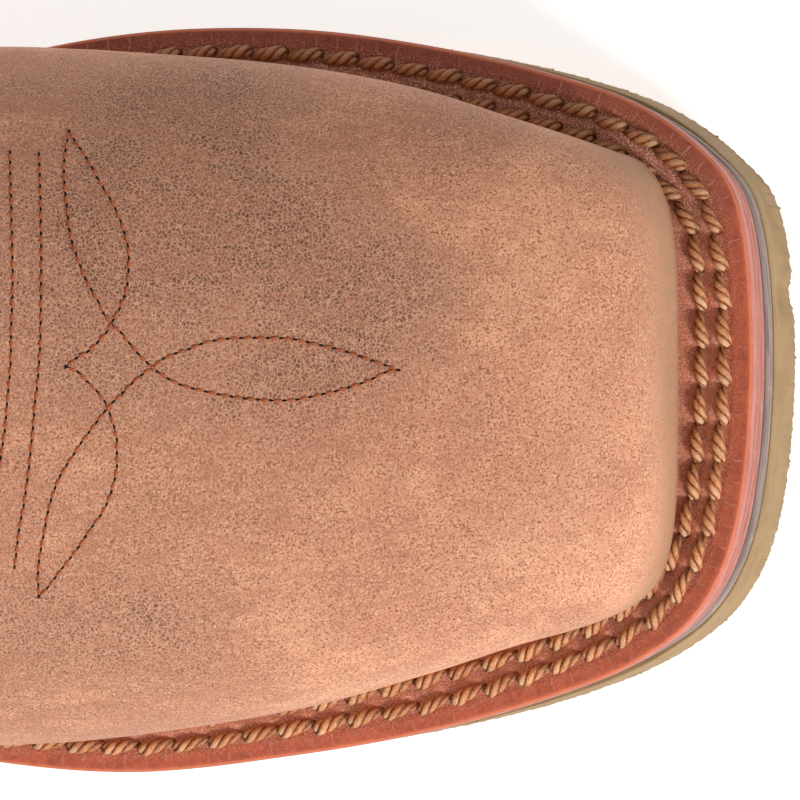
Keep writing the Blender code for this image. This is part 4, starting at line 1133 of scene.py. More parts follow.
def chevronBars(first):
    # bars inside the rim lugs: six-cornered plans, narrowed by a small chamfer at the ground
    room = splitLoop(insetLoop(outline, sole["rimLug"] + sole["channel"]))
    edges = [room[side][::-1] for side in ("inner", "outer")]
    pitch = sole["lugLength"] + sole["lugSpace"]
    last = (sole["length"] - sole["rimLug"] - sole["channel"] - sole["lugLength"]
            - sole["chevron"] - sole["welt"])
    x = np.arange(sole["treadStart"] - sole["lugLength"] / 2, last, pitch)
    ahead = x + sole["lugLength"]
    inner = np.minimum(*(np.interp(s, edges[0][:, 0], edges[0][:, 1]) for s in (x, ahead)))
    outer = np.maximum(*(np.interp(s, edges[1][:, 0], edges[1][:, 1]) for s in (x, ahead)))
    middle = (inner + outer) / 2
    rings = []
    for inset, level in ((0.0, slabBottom + 1.0), (0.0, lugBottom + 0.6), (0.6, lugBottom)):
        back, front = x + inset, ahead - inset
        plan = np.stack([
            np.stack([back, inner - inset], axis=1), np.stack([front, inner - inset], axis=1),
            np.stack([front + sole["chevron"], middle], axis=1),
            np.stack([front, outer + inset], axis=1), np.stack([back, outer + inset], axis=1),
            np.stack([back + sole["chevron"], middle], axis=1)], axis=1)
        rings.append(onSole(plan, level))
    points = np.stack(rings, axis=1)  # bars, rings, corners
    corners = 6
    ends = np.array([(0, 1, 2, 5), (5, 2, 3, 4)])
    walls = gridFaces(len(rings), corners, closeColumns=True)
    face = np.concatenate([ends, ends + 2 * corners, walls])
    return points.reshape(-1, 3), (manyFaces(face, len(x)) + first).tolist()


heelDetail = {"rows": 46, "across": 24, "lifts": 4, "groove": 0.22}


def heelPlan(inset):
    # rows from the heel's back to the breast, each bowed a little more towards the hollow
    sides = splitLoop(insetLoop(outline, inset) if inset else outline)
    theta = np.linspace(0, math.pi / 2, heelDetail["rows"])
    station = inset + (sole["breast"] - inset) * (1 - np.cos(theta))
    inner, outer = (
        np.interp(station, sides[s][::-1][:, 0], sides[s][::-1][:, 1]) for s in ("inner", "outer"))
    inner[0] = outer[0] = 0
    v = np.linspace(0, 1, heelDetail["across"])
    y = inner[:, None] * (1 - v) + outer[:, None] * v
    bow = -sole["breastHollow"] * (1 - (y / (sole["ballWidth"] / 2)) ** 2)
    x = station[:, None] + bow * (station[:, None] / sole["breast"]) ** 3
    return np.stack([x, y], axis=-1)


def addHeelBlock(name, profile, finish, node):
    # first and last profile entries close the block, and the border carries the others
    rows, across = heelDetail["rows"], heelDetail["across"]
    plans = [onSole(heelPlan(inset), level) for inset, level in profile]
    points = [plans[0].reshape(-1, 3), plans[-1].reshape(-1, 3)]
    faces = gridFaces(rows, across).tolist()
    faces += (gridFaces(rows, across) + rows * across).tolist()
    border = [k * across for k in range(rows)]
    border += [(rows - 1) * across + v for v in range(1, across)]
    border += [k * across + across - 1 for k in range(rows - 2, 0, -1)]
    border = np.array(border)
    ring = np.stack([plan.reshape(-1, 3)[border] for plan in plans], axis=1)
    base = 2 * rows * across
    points.append(ring.reshape(-1, 3))
    faces += (gridFaces(len(border), len(profile), closeRows=True) + base).tolist()
    addPiece(name, np.concatenate(points), faces, [finish], [node], sharp=35)


def addHeel():
    # lifts set in a little more each, a groove between them, and the top lift
    top = slabBottom - sole["gap"]
    bottom = sole["topLift"] - seatLevel + sole["gap"]
    lifts, groove = heelDetail["lifts"], heelDetail["groove"]
    profile = [(0.3, top)]
    for k in range(lifts):
        high = top + (bottom - top) * k / lifts
        low = top + (bottom - top) * (k + 1) / lifts
        taper = sole["heelTaper"] * (k + 0.5) / lifts
        profile += [(taper + groove * 0.6, high - 0.12), (taper, high - 0.45),
                    (taper, low + 0.45), (taper + groove * 0.6, low + 0.12)]
        if k < lifts - 1:
            profile.append((taper + groove * 2, low))
    profile.append((sole["heelTaper"] + 0.3, bottom))
    addHeelBlock("heel_stack", profile, heelStack, "heel")
    lift, floor = sole["topLift"] - seatLevel, -seatLevel
    taper = sole["heelTaper"]
    addHeelBlock("heel_lift", [
        (taper + 0.3, lift), (taper, lift - 0.4), (taper, floor + 0.8),
        (taper + 0.25, floor + 0.25), (taper + 0.9, floor),
    ], outsoleRubber, "top_lift")


addWelt()
addMidsole()
addFoam()
addInsole()
addOutsole()
addHeel()
print("sole ready")

# upper
vampSizes = {
    "rows": 236, "columns": 181, "rise": 1.3, "wall": 1.15, "thinned": 0.45, "seams": (2.4, 4.8),
}
shaftSizes = {"rows": 190, "columns": 141}
counterSizes = {
    "rows": 70, "columns": 90, "rise": 1.55, "seam": 0.236, "wall": 1.25, "thinned": 0.5,
    "seams": (2.2, 4.4), "seamStart": 3.0,
}
# the worn edge band also carries painted shade
noRim = 30.0  # millimetres from the sole, past the reach of the worn edge band


def vampField(x, z):
    # positive in the vamp's side view
    return np.minimum(x - vampEdge[0, 0] * sole["length"], edgeHeight(vampEdge, x) - z)


allColumns = np.linspace(-1, 1, skin.shape[1])
vampEnd = crossingRow(vampField)


def addVamp():
    # its skin stands off the shaft's and thins out in the last rows before the seam
    a = np.linspace(-1, 1, vampSizes["columns"])
    end = np.interp(a, allColumns, vampEnd)
    u = np.linspace(0, 1, vampSizes["rows"]) ** 1.08
    t = end[None] * u[:, None]
    base, normal = skinAt(t, a[None])
    edge = np.minimum((1 - u[:, None]) * 60, 1)
    rise = vampSizes["rise"] - vampSizes["thinned"] * (1 - edge)
    rise = rise + crease(base) * ease(t / 4 - 1)
    outer = base + normal * rise[..., None]
    # the distance to the feather edge, for the worn band above the sole and its painted shade
    rim = np.linalg.norm(base - skinAt(0 * t, a[None])[0], axis=-1)
    side = np.linalg.norm(base - skinAt(t, np.where(a[None] < 0, -1, 1) + 0 * t)[0], axis=-1)
    rim = np.where(t >= ankleRow, rim, np.minimum(rim, side))
    addPiece("vamp", outer, gridFaces(*outer.shape[:2]), [vampLeather],
             values={"rim": rim}, wall=vampSizes["wall"])
    return outer, normal


def addShaft():
    # the whole skin, lined inside; the vamp lies over its front
    t = np.linspace(0, lastRow, shaftSizes["rows"])[:, None]
    a = np.linspace(-1, 1, shaftSizes["columns"])[None]
    base, normal = skinAt(t, a)
    outer = base + normal * (crease(base) * ease(t / 4 - 1) - 0.02)[..., None]
    addPiece("shaft", outer, gridFaces(*outer.shape[:2]), [shaftLeather, lining],
             ["upper"], {"rim": np.full(outer.shape[:2], noRim)},
             wall=shaft["wall"])


def counterTop(x, z):
    # positive below the counter's top edge
    return edgeHeight(counterEdge, x) - z


def addCounter():
    # per side: columns from the corner below the piping to the heel's back
    seam = counterSizes["seam"] * sole["length"]
    enters = crossingRow(lambda x, z: x - seam)
    leaves = crossingRow(lambda x, z: np.where(x > seam, 1.0, counterTop(x, z)))
    grids, faces, first = [], [], 0
    for sign in (-1, 1):
        columns = sign * allColumns >= 0
        order = np.argsort(sign * allColumns[columns])
        known = (sign * allColumns[columns])[order]
        start, stop = enters[columns][order], leaves[columns][order]
        room = known[stop - start > 0.02]
        a = np.linspace(room.min(), 1, counterSizes["columns"])
        begin, finish = np.interp(a, known, start), np.interp(a, known, stop)
        v = np.linspace(0, 1, counterSizes["rows"])[:, None]
        t = begin[None] + (finish - begin)[None] * v
        base, normal = skinAt(t, sign * a[None])
        border = np.minimum(np.minimum(v, 1 - v) * 40, 1)
        rise = counterSizes["rise"] - counterSizes["thinned"] * (1 - border) + crease(base)
        outer = base + normal * rise[..., None]
        if sign > 0:
            outer = outer[:, ::-1]
        grids.append(outer.reshape(-1, 3))
        faces.append(gridFaces(*outer.shape[:2]) + first)
        first += outer.shape[0] * outer.shape[1]
    addPiece("heel_counter", np.concatenate(grids), np.concatenate(faces), [shaftLeather],
             ["counter"], {"rim": np.full(first, noRim)},
             wall=counterSizes["wall"])


def sideSeam(height):
    # the seam's station, halfway between front and back
    middle = (shaftRows[:, 0] + shaftRows[:, 2]) / 2 * sole["length"]
    level = seatLevel + (shaftRows[:, 1] + shaftRows[:, 3]) / 2 * shaft["rise"]
    return np.interp(height, level, middle)


def besideSeam(sign, rows, offsets):
    # columns a of the skin at each row whose station lies at the side seam plus each offset
    half = skinDensity["perSide"]
    a = np.linspace(0, 1, half + 1) * sign
    found = []
    for t in rows:
        line, _ = skinAt(np.full(len(a), t), a)
        target = sideSeam(line[:, 2].mean()) + offsets
        order = np.argsort(line[:, 0])
        found.append(np.interp(target, line[order, 0], a[order]))
    return np.array(found)


def rowsAtHeights(sign, heights):
    # rows at which the side seam reaches the heights
    rows = np.linspace(ankleRow, lastRow, 200)
    a = besideSeam(sign, rows, np.zeros(1))[:, 0]
    points, _ = skinAt(rows, a)
    return np.interp(heights, points[:, 2], rows)


pipingSizes = {"half": 3.0, "rise": 1.9, "rows": 110, "across": 13}


def addPiping(name, sign, node):
    # a half-round welt of leather up the side seam
    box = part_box(node)
    low, high = box[0][2] / mm, box[1][2] / mm
    rows = rowsAtHeights(sign, np.linspace(low + 0.5, high - 0.5, pipingSizes["rows"]))
    offsets = np.linspace(-1, 1, pipingSizes["across"]) * pipingSizes["half"]
    a = besideSeam(sign, rows, offsets)
    bulge = np.sqrt(np.clip(1 - (np.abs(offsets) / pipingSizes["half"]) ** 2.6, 0, 1))
    base, normal = skinAt(rows[:, None] + 0 * a, a)
    lift = 0.1 + pipingSizes["rise"] * bulge[None] + crease(base)
    outer = base + normal * lift[..., None]
    under = base + normal * (0.05 + crease(base))[..., None]
    grid = np.concatenate([outer, under[:, ::-1][:, 1:-1]], axis=1)
    count, around = grid.shape[:2]
    faces = gridFaces(count, around, closeColumns=True).tolist()
    half = pipingSizes["across"]
    for row in (0, count - 1):
        top = (np.arange(half) + row * around).tolist()
        below = np.concatenate([[0], np.arange(around - 1, half - 1, -1), [half - 1]])
        below = (below + row * around).tolist()
        faces.append([top[0], top[1], below[1]])
        faces += [[top[k], top[k + 1], below[k + 1], below[k]] for k in range(1, half - 2)]
        faces.append([top[half - 2], top[half - 1], below[half - 2]])
    addPiece(name, grid, faces, [trimLeather], [node], sharp=50)


strapSizes = {
    "width": 26.0, "thickness": 1.8, "drop": 52.0, "tuck": 34.0, "loop": 14.0, "bulge": 1.1,
    "binding": 1.0, "across": 17, "outerSteps": 44, "turnSteps": 36, "freeSteps": 8,
    "seamRise": 0.05,
}


def seamColumn(sign, offset):
    # the skin beside the side seam, from the ankle to the collar
    rows = np.linspace(ankleRow + 1, lastRow, 160)
    a = besideSeam(sign, rows, np.array([offset]))[:, 0]
    return skinAt(rows, a)[0]


def addStrap(name, side, node):
    # up the outside, over the collar in a loop and down inside
    s, gap = strapSizes, sole["gap"]
    outside = gap + s["binding"] + gap
    inside = -(shaft["wall"] + gap + s["binding"] + gap)
    middle, half = (outside + inside) / 2, (outside - inside) / 2
    turn = np.linspace(0, math.pi, s["turnSteps"])
    lines = []
    offsets = np.linspace(-s["width"] / 2, s["width"] / 2, s["across"])
    for offset in offsets:
        line = seamColumn(-side, offset)
        length = lengthsAlong(line)[-1]
        down = np.linspace(s["drop"], 0, s["outerSteps"])
        outer = atShares(line, 1 - down / length) + [0, side * outside, 0]
        back = down[down < s["tuck"]][::-1]
        inner = atShares(line, 1 - back / length) + [0, side * inside, 0]
        arch = np.stack([
            0 * turn, side * (middle + half * np.cos(turn) * (1 + s["bulge"] * np.sin(turn))),
            s["binding"] + 3 * gap + s["loop"] * np.sin(turn)], axis=1)
        lines.append(np.concatenate([outer, line[-1] + arch, inner]))
    grid = np.array(lines)
    normal = cornerNormals(grid)
    normal = normal * np.sign(normal[s["across"] // 2, 4, 1] * side)
    cup = 1 - np.abs(offsets)[:, None] / (s["width"] / 2)
    edge = 0.5 * np.clip(1 - cup * 14, 0, 1)
    outer = grid + normal * (s["thickness"] - edge)[..., None]
    piece = addPiece(name, outer, gridFaces(*outer.shape[:2]), [trimLeather],
                     [node])
    addWall(piece, s["thickness"])
    flipIfInward(piece, toFrame(outer[s["across"] // 2, 4]), (0, side, 0))
    return outer, normal


def flipIfInward(piece, place, outward):
    # an open strip's faces must look away from the boot before it gets its thickness
    mesh = piece.data
    centres = np.empty(len(mesh.polygons) * 3)
    mesh.polygons.foreach_get("center", centres)
    nearest = int(np.argmin(np.linalg.norm(centres.reshape(-1, 3) - place, axis=1)))
    if mesh.polygons[nearest].normal.dot(Vector(outward)) < 0:
        mesh.flip_normals()


bindingSizes = {"drop": 9.0, "thickness": 1.0, "places": 300}


def addBinding():
    # a strip folded over the collar, its profile carried round the top edge
    s, gap, wall = bindingSizes, sole["gap"], shaft["wall"]
    a = np.linspace(-1, 1, s["places"], endpoint=False)
    rim, _ = skinAt(np.full(len(a), lastRow), a)
    rows = np.linspace(ankleRow + 6, lastRow, 60)
    columns, _ = skinAt(rows[:, None], a[None])
    lengths = lengthsUp(columns)
    drops = [0.0, 0.8, 4.5, s["drop"] - 0.5, s["drop"]]
    levels = []
    for drop in drops:
        t = np.array([np.interp(drop, lengths[:, k], rows[::-1]) for k in range(len(a))])
        levels.append(skinAt(t, a)[0])
    run = unit((np.roll(rim, -1, axis=0) - np.roll(rim, 1, axis=0))[:, :2])
    outward = np.stack([run[:, 1], -run[:, 0], np.zeros(len(a))], axis=1)
    outward *= np.sign(np.sum(outward * (rim - rim.mean(axis=0)), axis=1))[:, None]
    near, far, top = gap, gap + s["thickness"], 2 * gap + s["thickness"]
    arc = np.linspace(0, math.pi, 9)
    middle, half = -wall / 2, wall / 2 + far
    profile = [(0.05, 4, 0), (far - 0.35, 4, 0), (far, 3, 0), (far + 0.1, 2, 0), (far, 1, 0)]
    profile += [(middle + half * math.cos(w), 0, top * math.sin(w) ** 0.7) for w in arc[1:-1]]
    profile += [(-wall - far, 1, 0), (-wall - far - 0.1, 2, 0), (-wall - far, 3, 0),
                (-wall - far + 0.35, 4, 0), (-wall - 0.05, 4, 0), (-wall - near, 1, 0),
                (-wall / 2, 0, 2 * gap - 0.1), (near, 1, 0)]
    # each profile entry is a distance outwards, the level it starts from and a rise
    up = np.array([0, 0, 1.0])
    grid = np.stack([levels[k] + outward * out + up * rise for out, k, rise in profile], axis=1)
    addPiece("collar_edge", grid, gridFaces(*grid.shape[:2], True, True), [trimLeather],
             ["collar_binding"], sharp=60)
    return levels[2] + outward * (far + 0.1), outward


def gridTree(grid):
    # a grid's surface, to be searched
    points = toFrame(grid.reshape(-1, 3)).tolist()
    return BVHTree.FromPolygons(points, gridFaces(*grid.shape[:2]).tolist())


def seenAt(tree, pixel):
    # where the line of sight through a place in the picture first meets the tree's surface
    return tree.ray_cast(*sightLine(pixel))[0]


# zones of burnish: centre pixel, radii in millimetres, amount
burnishZones = [
    ((205, 170), (16, 16, 40), 0.75), ((330, 290), (17, 12, 40), 0.40),
    ((60, 270), (15, 18, 40), 0.58), ((90, 640), (26, 9, 30), 0.40),
    ((400, 300), (14, 9, 40), 0.38), ((260, 380), (20, 8, 40), 0.46),
    ((430, 110), (20, 7, 30), 0.22), ((420, 440), (24, 13, 40), -0.10),
    ((580, 400), (22, 26, 40), -0.28), ((100, 500), (22, 8, 30), 0.18),
    ((150, 80), (40, 5, 24), 0.25), ((300, 330), (26, 3, 30), -0.12),
    ((100, 600), (26, 6, 30), 0.14), ((320, 100), (12, 7, 30), -0.32),
    ((300, 620), (30, 10, 30), -0.15),
]


def zonePlaces():
    # the zones' centres on the skin itself, found along the lines of sight
    t = np.linspace(0.5, 16, 120)[:, None]
    a = np.linspace(-0.98, 0.98, 121)[None]
    grid, _ = skinAt(t, a, vampSizes["rise"])
    tree = gridTree(grid)
    zones = []
    for pixel, radii, amount in burnishZones:
        place = seenAt(tree, pixel)
        if place:
            zones.append((np.array(place) / mm, radii, amount))
    return zones


vampLeather = leatherFinish("vamp_leather", zonePlaces(), 0.22)
shaftLeather = leatherFinish("shaft_leather", (), 0.42)
vampGrid, vampNormals = addVamp()
addShaft()
addCounter()
addPiping("piping_seam_inner", -1, "piping_inner")
addPiping("piping_seam_outer", 1, "piping_outer")
innerStrap = addStrap("strap_inner", 1, "pull_strap_inner")
outerStrap = addStrap("strap_outer", -1, "pull_strap_outer")
bindingLine = addBinding()
print("upper ready")

# rope stitches on the welt
ropeSizes = {
    "pitch": 5.7, "length": 6.5, "strand": 0.58, "offset": 0.52, "turns": 1.15, "steps": 16,
    "around": 8, "slant": 0.19, "arch": 0.6, "seat": -0.05, "innerMargin": 9.6,
}
dice = np.random.default_rng(11)


def stitchFrames(path, pitch, closed):
    # centres, directions and row places of stitches evenly spaced along a line of points
    line = np.concatenate([path, path[:1]]) if closed else path
    total = lengthsAlong(line)
    count = max(int(round(total[-1] / pitch)), 1)
    middle = (np.arange(count) + 0.5) / count * total[-1]
    ends = []
    for step in (-pitch / 2, pitch / 2):
        place = middle + step
        place = np.mod(place, total[-1]) if closed else np.clip(place, 0, total[-1])
        ends.append(np.stack([np.interp(place, total, column) for column in line.T], axis=1))
    return (ends[0] + ends[1]) / 2, unit(ends[1] - ends[0]), middle / total[-1]


def addRope(name, index):
    # three strands twisted round a short arched axis; its end dives into the hole
    s = ropeSizes
    plan = insetLoop(outline, rowDistance(index))
    path = onSole(pick(plan, roundPlaces), weltTop)
    centre, run, where = stitchFrames(path, s["pitch"], True)
    if index:
        room = pick(margin, np.interp(where, np.linspace(0, 1, len(roundPlaces) + 1),
                                      np.append(roundPlaces, len(outline))))
        kept = room > s["innerMargin"]
        centre, run = centre[kept], run[kept]
    angle = soleSlope(centre[:, 0])
    up = np.stack([-np.sin(angle), 0 * angle, np.cos(angle)], axis=1)
    count = len(centre)
    slant = s["slant"] + dice.normal(0, 0.05, count)
    run = unit(run + unit(np.cross(up, run)) * slant[:, None])
    across = unit(np.cross(up, run))
    centre = centre + across * dice.normal(0, 0.10, count)[:, None]
    size = 1 + dice.normal(0, 0.05, count)
    phase = dice.uniform(0, 2 * math.pi, count)
    u = np.linspace(-1, 1, s["steps"])
    swell = np.clip(1 - np.abs(u) ** np.where(u < 0, 5.0, 2.6), 0, 1) ** 0.5
    swell = swell * (0.85 + 0.15 * np.cos(u * 1.9 + 0.9))
    height = s["seat"] + s["arch"] * (1 - u**2)
    height -= 0.85 * np.clip(u - 0.3, 0, 1) ** 1.3 + 0.3 * np.clip(-u - 0.7, 0, 1)
    axis = (centre[:, None] + run[:, None] * (u * s["length"] / 2)[None, :, None]
            + up[:, None] * height[None, :, None])
    lay = math.atan(2 * math.pi * s["turns"] * s["offset"] / s["length"])
    w = fullTurn(s["around"])
    pieces = []
    for strand in range(3):
        phi = phase[:, None] + 2 * math.pi * (strand / 3 + s["turns"] * (u[None] + 1) / 2)
        out = np.cos(phi)[..., None] * up[:, None] + np.sin(phi)[..., None] * across[:, None]
        side = -np.sin(phi)[..., None] * up[:, None] + np.cos(phi)[..., None] * across[:, None]
        flat = side * math.cos(lay) - run[:, None] * math.sin(lay)
        scale = (swell[None] * size[:, None])[..., None]
        core = axis + out * s["offset"] * scale
        ring = out[:, :, None] * np.cos(w)[:, None] + flat[:, :, None] * np.sin(w)[:, None] * 1.12
        pieces.append(core[:, :, None] + ring * (s["strand"] * scale)[:, :, None])
    grid = np.stack(pieces, axis=1)  # stitches, strands, steps, around
    tubes = count * 3
    face = gridFaces(s["steps"], s["around"], closeColumns=True)
    uv = tubeMap(face, s["steps"], s["around"], s["length"])
    uv = np.tile(uv[None], (tubes, 1, 1, 1))
    uv[..., 0] += dice.uniform(0, 40, tubes)[:, None, None]
    shape = grid.shape[:-1]
    # outward drives the rope finish's painted shade in the grooves and painted light on the
    # crests; along drives its painted highlight at the start and painted shade at the end
    values = {
        "outward": np.broadcast_to(np.cos(w), shape),
        "along": np.broadcast_to(((u + 1) / 2)[None, None, :, None], shape),
        "tone": np.broadcast_to(dice.uniform(0, 1, count)[:, None, None, None], shape),
    }
    addPiece(name, grid, manyFaces(face, tubes), [rope], values=values, uv=uv,
             sharp=80)
    return count


ropeCount = addRope("welt_stitch_outer", 0), addRope("welt_stitch_inner", 1)
print("rope stitches", ropeCount)

# fine stitches
threadSizes = {"pitch": 1.9, "length": 1.3, "radius": 0.24, "arch": 0.16, "rings": 7, "around": 6}


def threadMesh(centre, run, up, length, radius, arch):
    # capsules bent over the surface
    s = threadSizes
    across = unit(np.cross(up, run))
    up = np.cross(run, across)
    u = np.linspace(-1, 1, s["rings"])
    w = fullTurn(s["around"])
    swell = radius * np.sqrt(np.clip(1 - np.abs(u) ** 3.5, 0, 1))
    height = arch * (1 - u**2) - radius * 0.35
    return (
        centre[:, None, None] + run[:, None, None] * (u * length / 2)[None, :, None, None]
        + across[:, None, None] * (swell[:, None] * np.cos(w))[None, ..., None]
        + up[:, None, None] * (height[:, None] + swell[:, None] * np.sin(w))[None, ..., None])


def addThread(name, lines, finish, slot, **sizes):
    # a row of stitches on each line, every one turned a little at random
    s = {**threadSizes, **sizes}
    grids = []
    for path, normals in lines:
        centre, run, where = stitchFrames(path, s["pitch"], False)
        up = unit(atShares(path, where, normals))
        wander = dice.normal(0, 0.06, len(centre))
        run = unit(run + np.cross(up, run) * wander[:, None])
        grids.append(threadMesh(centre, run, up, s["length"], s["radius"], s["arch"]))
    grid = np.concatenate(grids)
    face = gridFaces(s["rings"], s["around"], closeColumns=True)
    uv = tubeMap(face, s["rings"], s["around"], s["length"])
    addPiece(name, grid, manyFaces(face, len(grid)), [finish],
             uv=np.tile(uv[None], (len(grid), 1, 1, 1)), sharp=80)


holeSizes = {"long": 0.44, "wide": 0.2, "dome": 0.13, "sunk": 0.03, "foot": 0.2, "around": 8}


def addHoleAndGapShades(name, lines, pitch):
    # dark lens shapes, longer along the row, where the thread goes through the leather: painted
    # shade of the needle holes and of the gaps between stitches
    s = holeSizes
    grids = []
    u = np.array([0.0, 0.45, 0.8, 1.0])
    w = fullTurn(s["around"])
    for path, normals in lines:
        count = max(int(round(lengthsAlong(path)[-1] / pitch)), 1)
        where = np.arange(count + 1) / count
        centre = atShares(path, where)
        up = unit(atShares(path, where, normals))
        nearby = 0.3 / count
        first = atShares(path, np.minimum(where + nearby, 1))
        first -= atShares(path, np.maximum(where - nearby, 0))
        first = unit(first - up * (first * up).sum(axis=1)[:, None])
        second = np.cross(up, first)
        height = s["dome"] * np.sqrt(1 - u**2) - s["sunk"]
        top = (centre[:, None, None] + up[:, None, None] * height[None, :, None, None]
               + first[:, None, None] * (u[:, None] * np.cos(w) * s["long"])[None, ..., None]
               + second[:, None, None] * (u[:, None] * np.sin(w) * s["wide"])[None, ..., None])
        foot = (centre - up * s["foot"])[:, None, None] + 0 * top[:, :1]
        grids.append(np.concatenate([top, foot], axis=1))
    grid = np.concatenate(grids)
    face = gridFaces(grid.shape[1], s["around"], closeColumns=True)
    addPiece(name, grid, manyFaces(face, len(grid)), [holeAndGapShade], sharp=80)


def holeAndGapShadeFinish(name):
    # painted shade: the dark of a needle hole and of the gap beside it
    finish = Finish(name, Specular_IOR_Level=0.2)
    spot = finish.noise(1.2, 2, 0.5)
    color = finish.mix(spot, srgb("#140905"), srgb("#2A130B"))
    return finish.done(Base_Color=color, Roughness=0.8 + spot * 0.1)


holeAndGapShade = holeAndGapShadeFinish("stitch_hole_gap_shade")

# the vamp's fancy stitching, by places in the picture; every line is laid on the leather
fancyLines = [
    [(10, 152), (11.5, 213), (12.4, 252), (12.5, 293), (11, 335), (10.8, 362), (8.3, 390),
     (7, 404), (5, 429), (2.8, 444), (0.6, 459), (-4, 486), (-9, 520), (-15, 560)],
    [(39, 154), (40, 178), (41, 226), (41, 291), (40.8, 318), (40.2, 346), (39.3, 360), (37, 388),
     (35, 403), (33, 428), (31.3, 444), (28, 476), (24.2, 502), (19.1, 530), (16.6, 550),
     (14.5, 567)],
    [(69, 131), (64.4, 161), (64.4, 183), (67.2, 209), (70.4, 235), (77.8, 259), (88, 284),
     (95.7, 297), (111, 324), (118.6, 330), (127.6, 341), (136.5, 352), (145.4, 361),
     (158, 372), (178.6, 384), (199, 390), (222, 395), (250, 399), (301, 399), (319, 395),
     (344, 389), (370, 380), (390, 371), (398, 370)],
    [(69, 131), (75, 141), (88, 160), (99.5, 182), (113.5, 205), (123, 228), (128.8, 253),
     (128.8, 266), (125.6, 293), (121, 306), (111, 324), (108, 330), (98, 342), (88.6, 351),
     (76.5, 358), (66.3, 366.7)],
    [(66.3, 366.7), (76.5, 371), (86.7, 381), (95, 389), (107.8, 407.6), (110.3, 415),
     (114.2, 427), (117, 441), (117, 453), (116.8, 469), (114.8, 479), (111, 493), (105.9, 506),
     (99.5, 517), (90.6, 529), (76.5, 550), (60, 571), (44.6, 591), (38.8, 596.4)],
    [(152.4, 367.4), (136.5, 379), (125.6, 390), (107.8, 407.6), (97.6, 421), (89.3, 432),
     (80.4, 444), (73.3, 455), (65, 468), (59.3, 478), (53.6, 492), (48.5, 510), (44.6, 530),
     (40.8, 550), (38.3, 568), (38.8, 596.4)],
    [(153, 367), (166, 357), (184, 351), (204, 343), (224.5, 339), (242, 338), (268, 338),
     (293, 339), (311, 343), (337, 349), (357, 355), (377, 362), (398, 370)],
]


def fancyPaths():
    # curves through the places, and the leather's normals along them
    tree = gridTree(vampGrid)
    lines = []
    for pixels in fancyLines:
        hits = [seenAt(tree, pixel) for pixel in pixels]
        places = np.array([fromFrame(place) for place in hits if place])
        knots = lengthsAlong(places)
        fine = smoothThrough(knots, places, np.linspace(0, knots[-1], 160))
        laid, normals = [], []
        for point in toFrame(fine):
            place, normal, _, _ = tree.find_nearest(Vector(point))
            laid.append(fromFrame(place))
            normals.append(np.array(normal))
        normals = np.array(normals)
        normals *= np.sign(normals[:, 2:3])
        lines.append((np.array(laid), normals))
    return lines


fancy = fancyPaths()
addThread("vamp_stitches", fancy, rustThread, "upper_leather")
# dark lenses at the stitch ends: painted shade of the holes and of the gaps between stitches
addHoleAndGapShades("vamp_stitch_holes_gap_shade", fancy, threadSizes["pitch"])


def pathInGrid(grid, normals, distance):
    # in every column of a grid, the point at a distance back from the last row
    lengths = lengthsUp(grid)
    order = np.arange(grid.shape[0])[::-1]
    row = np.array([np.interp(distance, lengths[:, k], order) for k in range(grid.shape[1])])
    i = np.minimum(row.astype(int), grid.shape[0] - 2)
    u = (row - i)[:, None]
    k = np.arange(grid.shape[1])
    found = [f[i, k] * (1 - u) + f[i + 1, k] * u for f in (grid, normals)]
    long = lengths[-1] > distance * 1.2
    return found[0][long], unit(found[1])[long]


def counterLines():
    # two rows below the counter's top edge on each side, from the piping to the heel's back
    seam = counterSizes["seam"] * sole["length"] - counterSizes["seamStart"]
    lines = []
    for below in counterSizes["seams"]:
        row = crossingRow(lambda x, z: np.where(x > seam, 1.0, counterTop(x, z) - below))
        first = crossingRow(lambda x, z: x - seam)
        for sign in (-1, 1):
            kept = (sign * allColumns >= 0) & (sign * allColumns <= 0.995) & (row - first > 0.3)
            known = allColumns[kept]
            a = np.linspace(known[0], known[-1], 120)
            lines.append(skinAt(np.interp(a, known, row[kept]), a, counterSizes["rise"] + 0.1))
    return lines


def strapLines(grid, normals):
    # one row inside each long side, and a row across the sewn end
    sewn = strapSizes["outerSteps"] - strapSizes["freeSteps"]
    raised = grid + normals * strapSizes["seamRise"]
    lines = [(raised[k, :sewn], normals[k, :sewn]) for k in (1, len(grid) - 2)]
    return lines + [(raised[1:-1, 1], normals[1:-1, 1])]


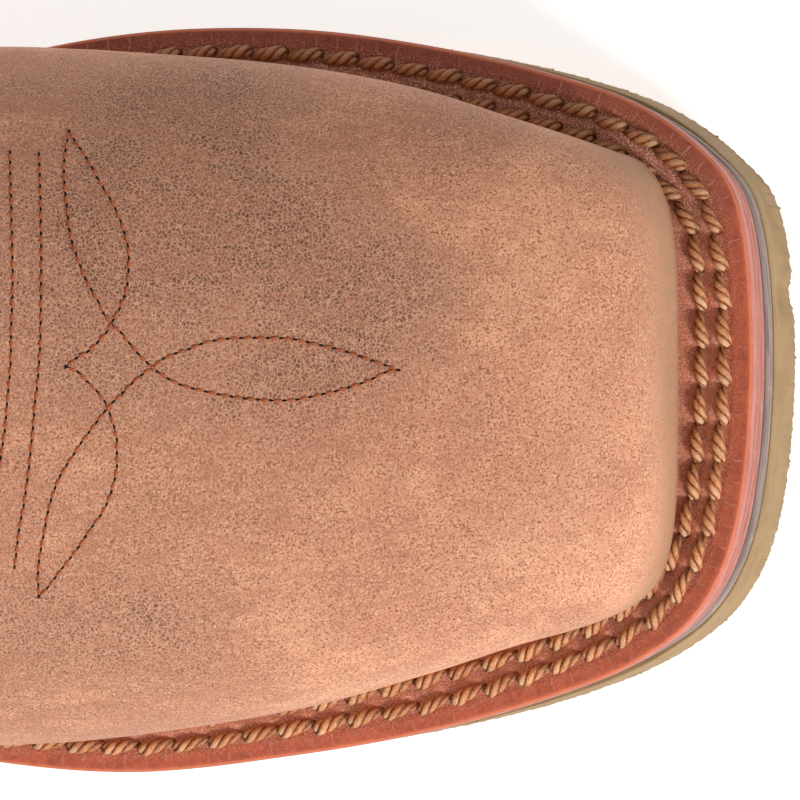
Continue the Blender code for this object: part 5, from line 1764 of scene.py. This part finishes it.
sewing = {"pitch": 2.6, "length": 2.2, "radius": 0.3, "arch": 0.2}
seamLines = [pathInGrid(vampGrid, vampNormals, back) for back in vampSizes["seams"]]
addThread("vamp_seam_stitches", seamLines, tanThread, "upper_leather", **sewing)
addThread("counter_stitches", counterLines(), tanThread, "upper_leather", **sewing)
addThread("strap_stitches", strapLines(*innerStrap) + strapLines(*outerStrap), tanThread,
          "trim_leather", **sewing)
collarLine = tuple(np.concatenate([side, side[:1]]) for side in bindingLine)
addThread("collar_stitches", [collarLine], tanThread, "trim_leather", **sewing)
print("fine stitches ready")

# stage and light
studio = {
    "sky": 0.42, "keyPower": 10.4, "keySize": 0.32, "keyAt": (0.80, -0.62, 0.68),
    "fillPower": 1.0, "fillSize": 0.6, "fillAt": (-0.5, 0.5, 0.9), "aim": (0.07, 0.0, 0.04),
    "floor": 4, "floorGlow": 0.55,
}


def addLight(name, place, power, size):
    # a square lamp that faces the toe
    data = bpy.data.lights.new(name, "AREA")
    data.energy, data.size = power, size
    light = bpy.data.objects.new(name, data)
    light.location = place
    away = Vector(place) - Vector(studio["aim"])
    light.rotation_euler = away.to_track_quat("Z", "Y").to_euler()
    bpy.context.scene.collection.objects.link(light)


def addStudio():
    # white sky, two soft lamps and a pale floor that glows faintly
    world = bpy.data.worlds.new("studio")
    world.use_nodes = True
    sky = world.node_tree.nodes["Background"]
    sky.inputs["Color"].default_value = (1.0, 1.0, 1.0, 1)
    sky.inputs["Strength"].default_value = studio["sky"]
    bpy.context.scene.world = world
    bpy.context.scene.view_settings.view_transform = "Standard"
    addLight("key", studio["keyAt"], studio["keyPower"], studio["keySize"])
    addLight("fill", studio["fillAt"], studio["fillPower"], studio["fillSize"])
    mesh, r = bpy.data.meshes.new("floor"), studio["floor"]
    mesh.from_pydata([(-r, -r, 0), (r, -r, 0), (r, r, 0), (-r, r, 0)], [], [(0, 1, 2, 3)])
    floor = bpy.data.objects.new("floor", mesh)
    bpy.context.scene.collection.objects.link(floor)
    finish = Finish("floor_paper", Roughness=0.9, Specular_IOR_Level=0.1)
    soft = finish.noise(0.01, 2, 0.5)
    color = finish.mix(soft, (0.93, 0.93, 0.93, 1), (0.9, 0.9, 0.9, 1))
    finish.shader.inputs["Emission Color"].default_value = (1, 1, 1, 1)
    finish.shader.inputs["Emission Strength"].default_value = studio["floorGlow"]
    mesh.materials.append(finish.done(Base_Color=color))


addStudio()
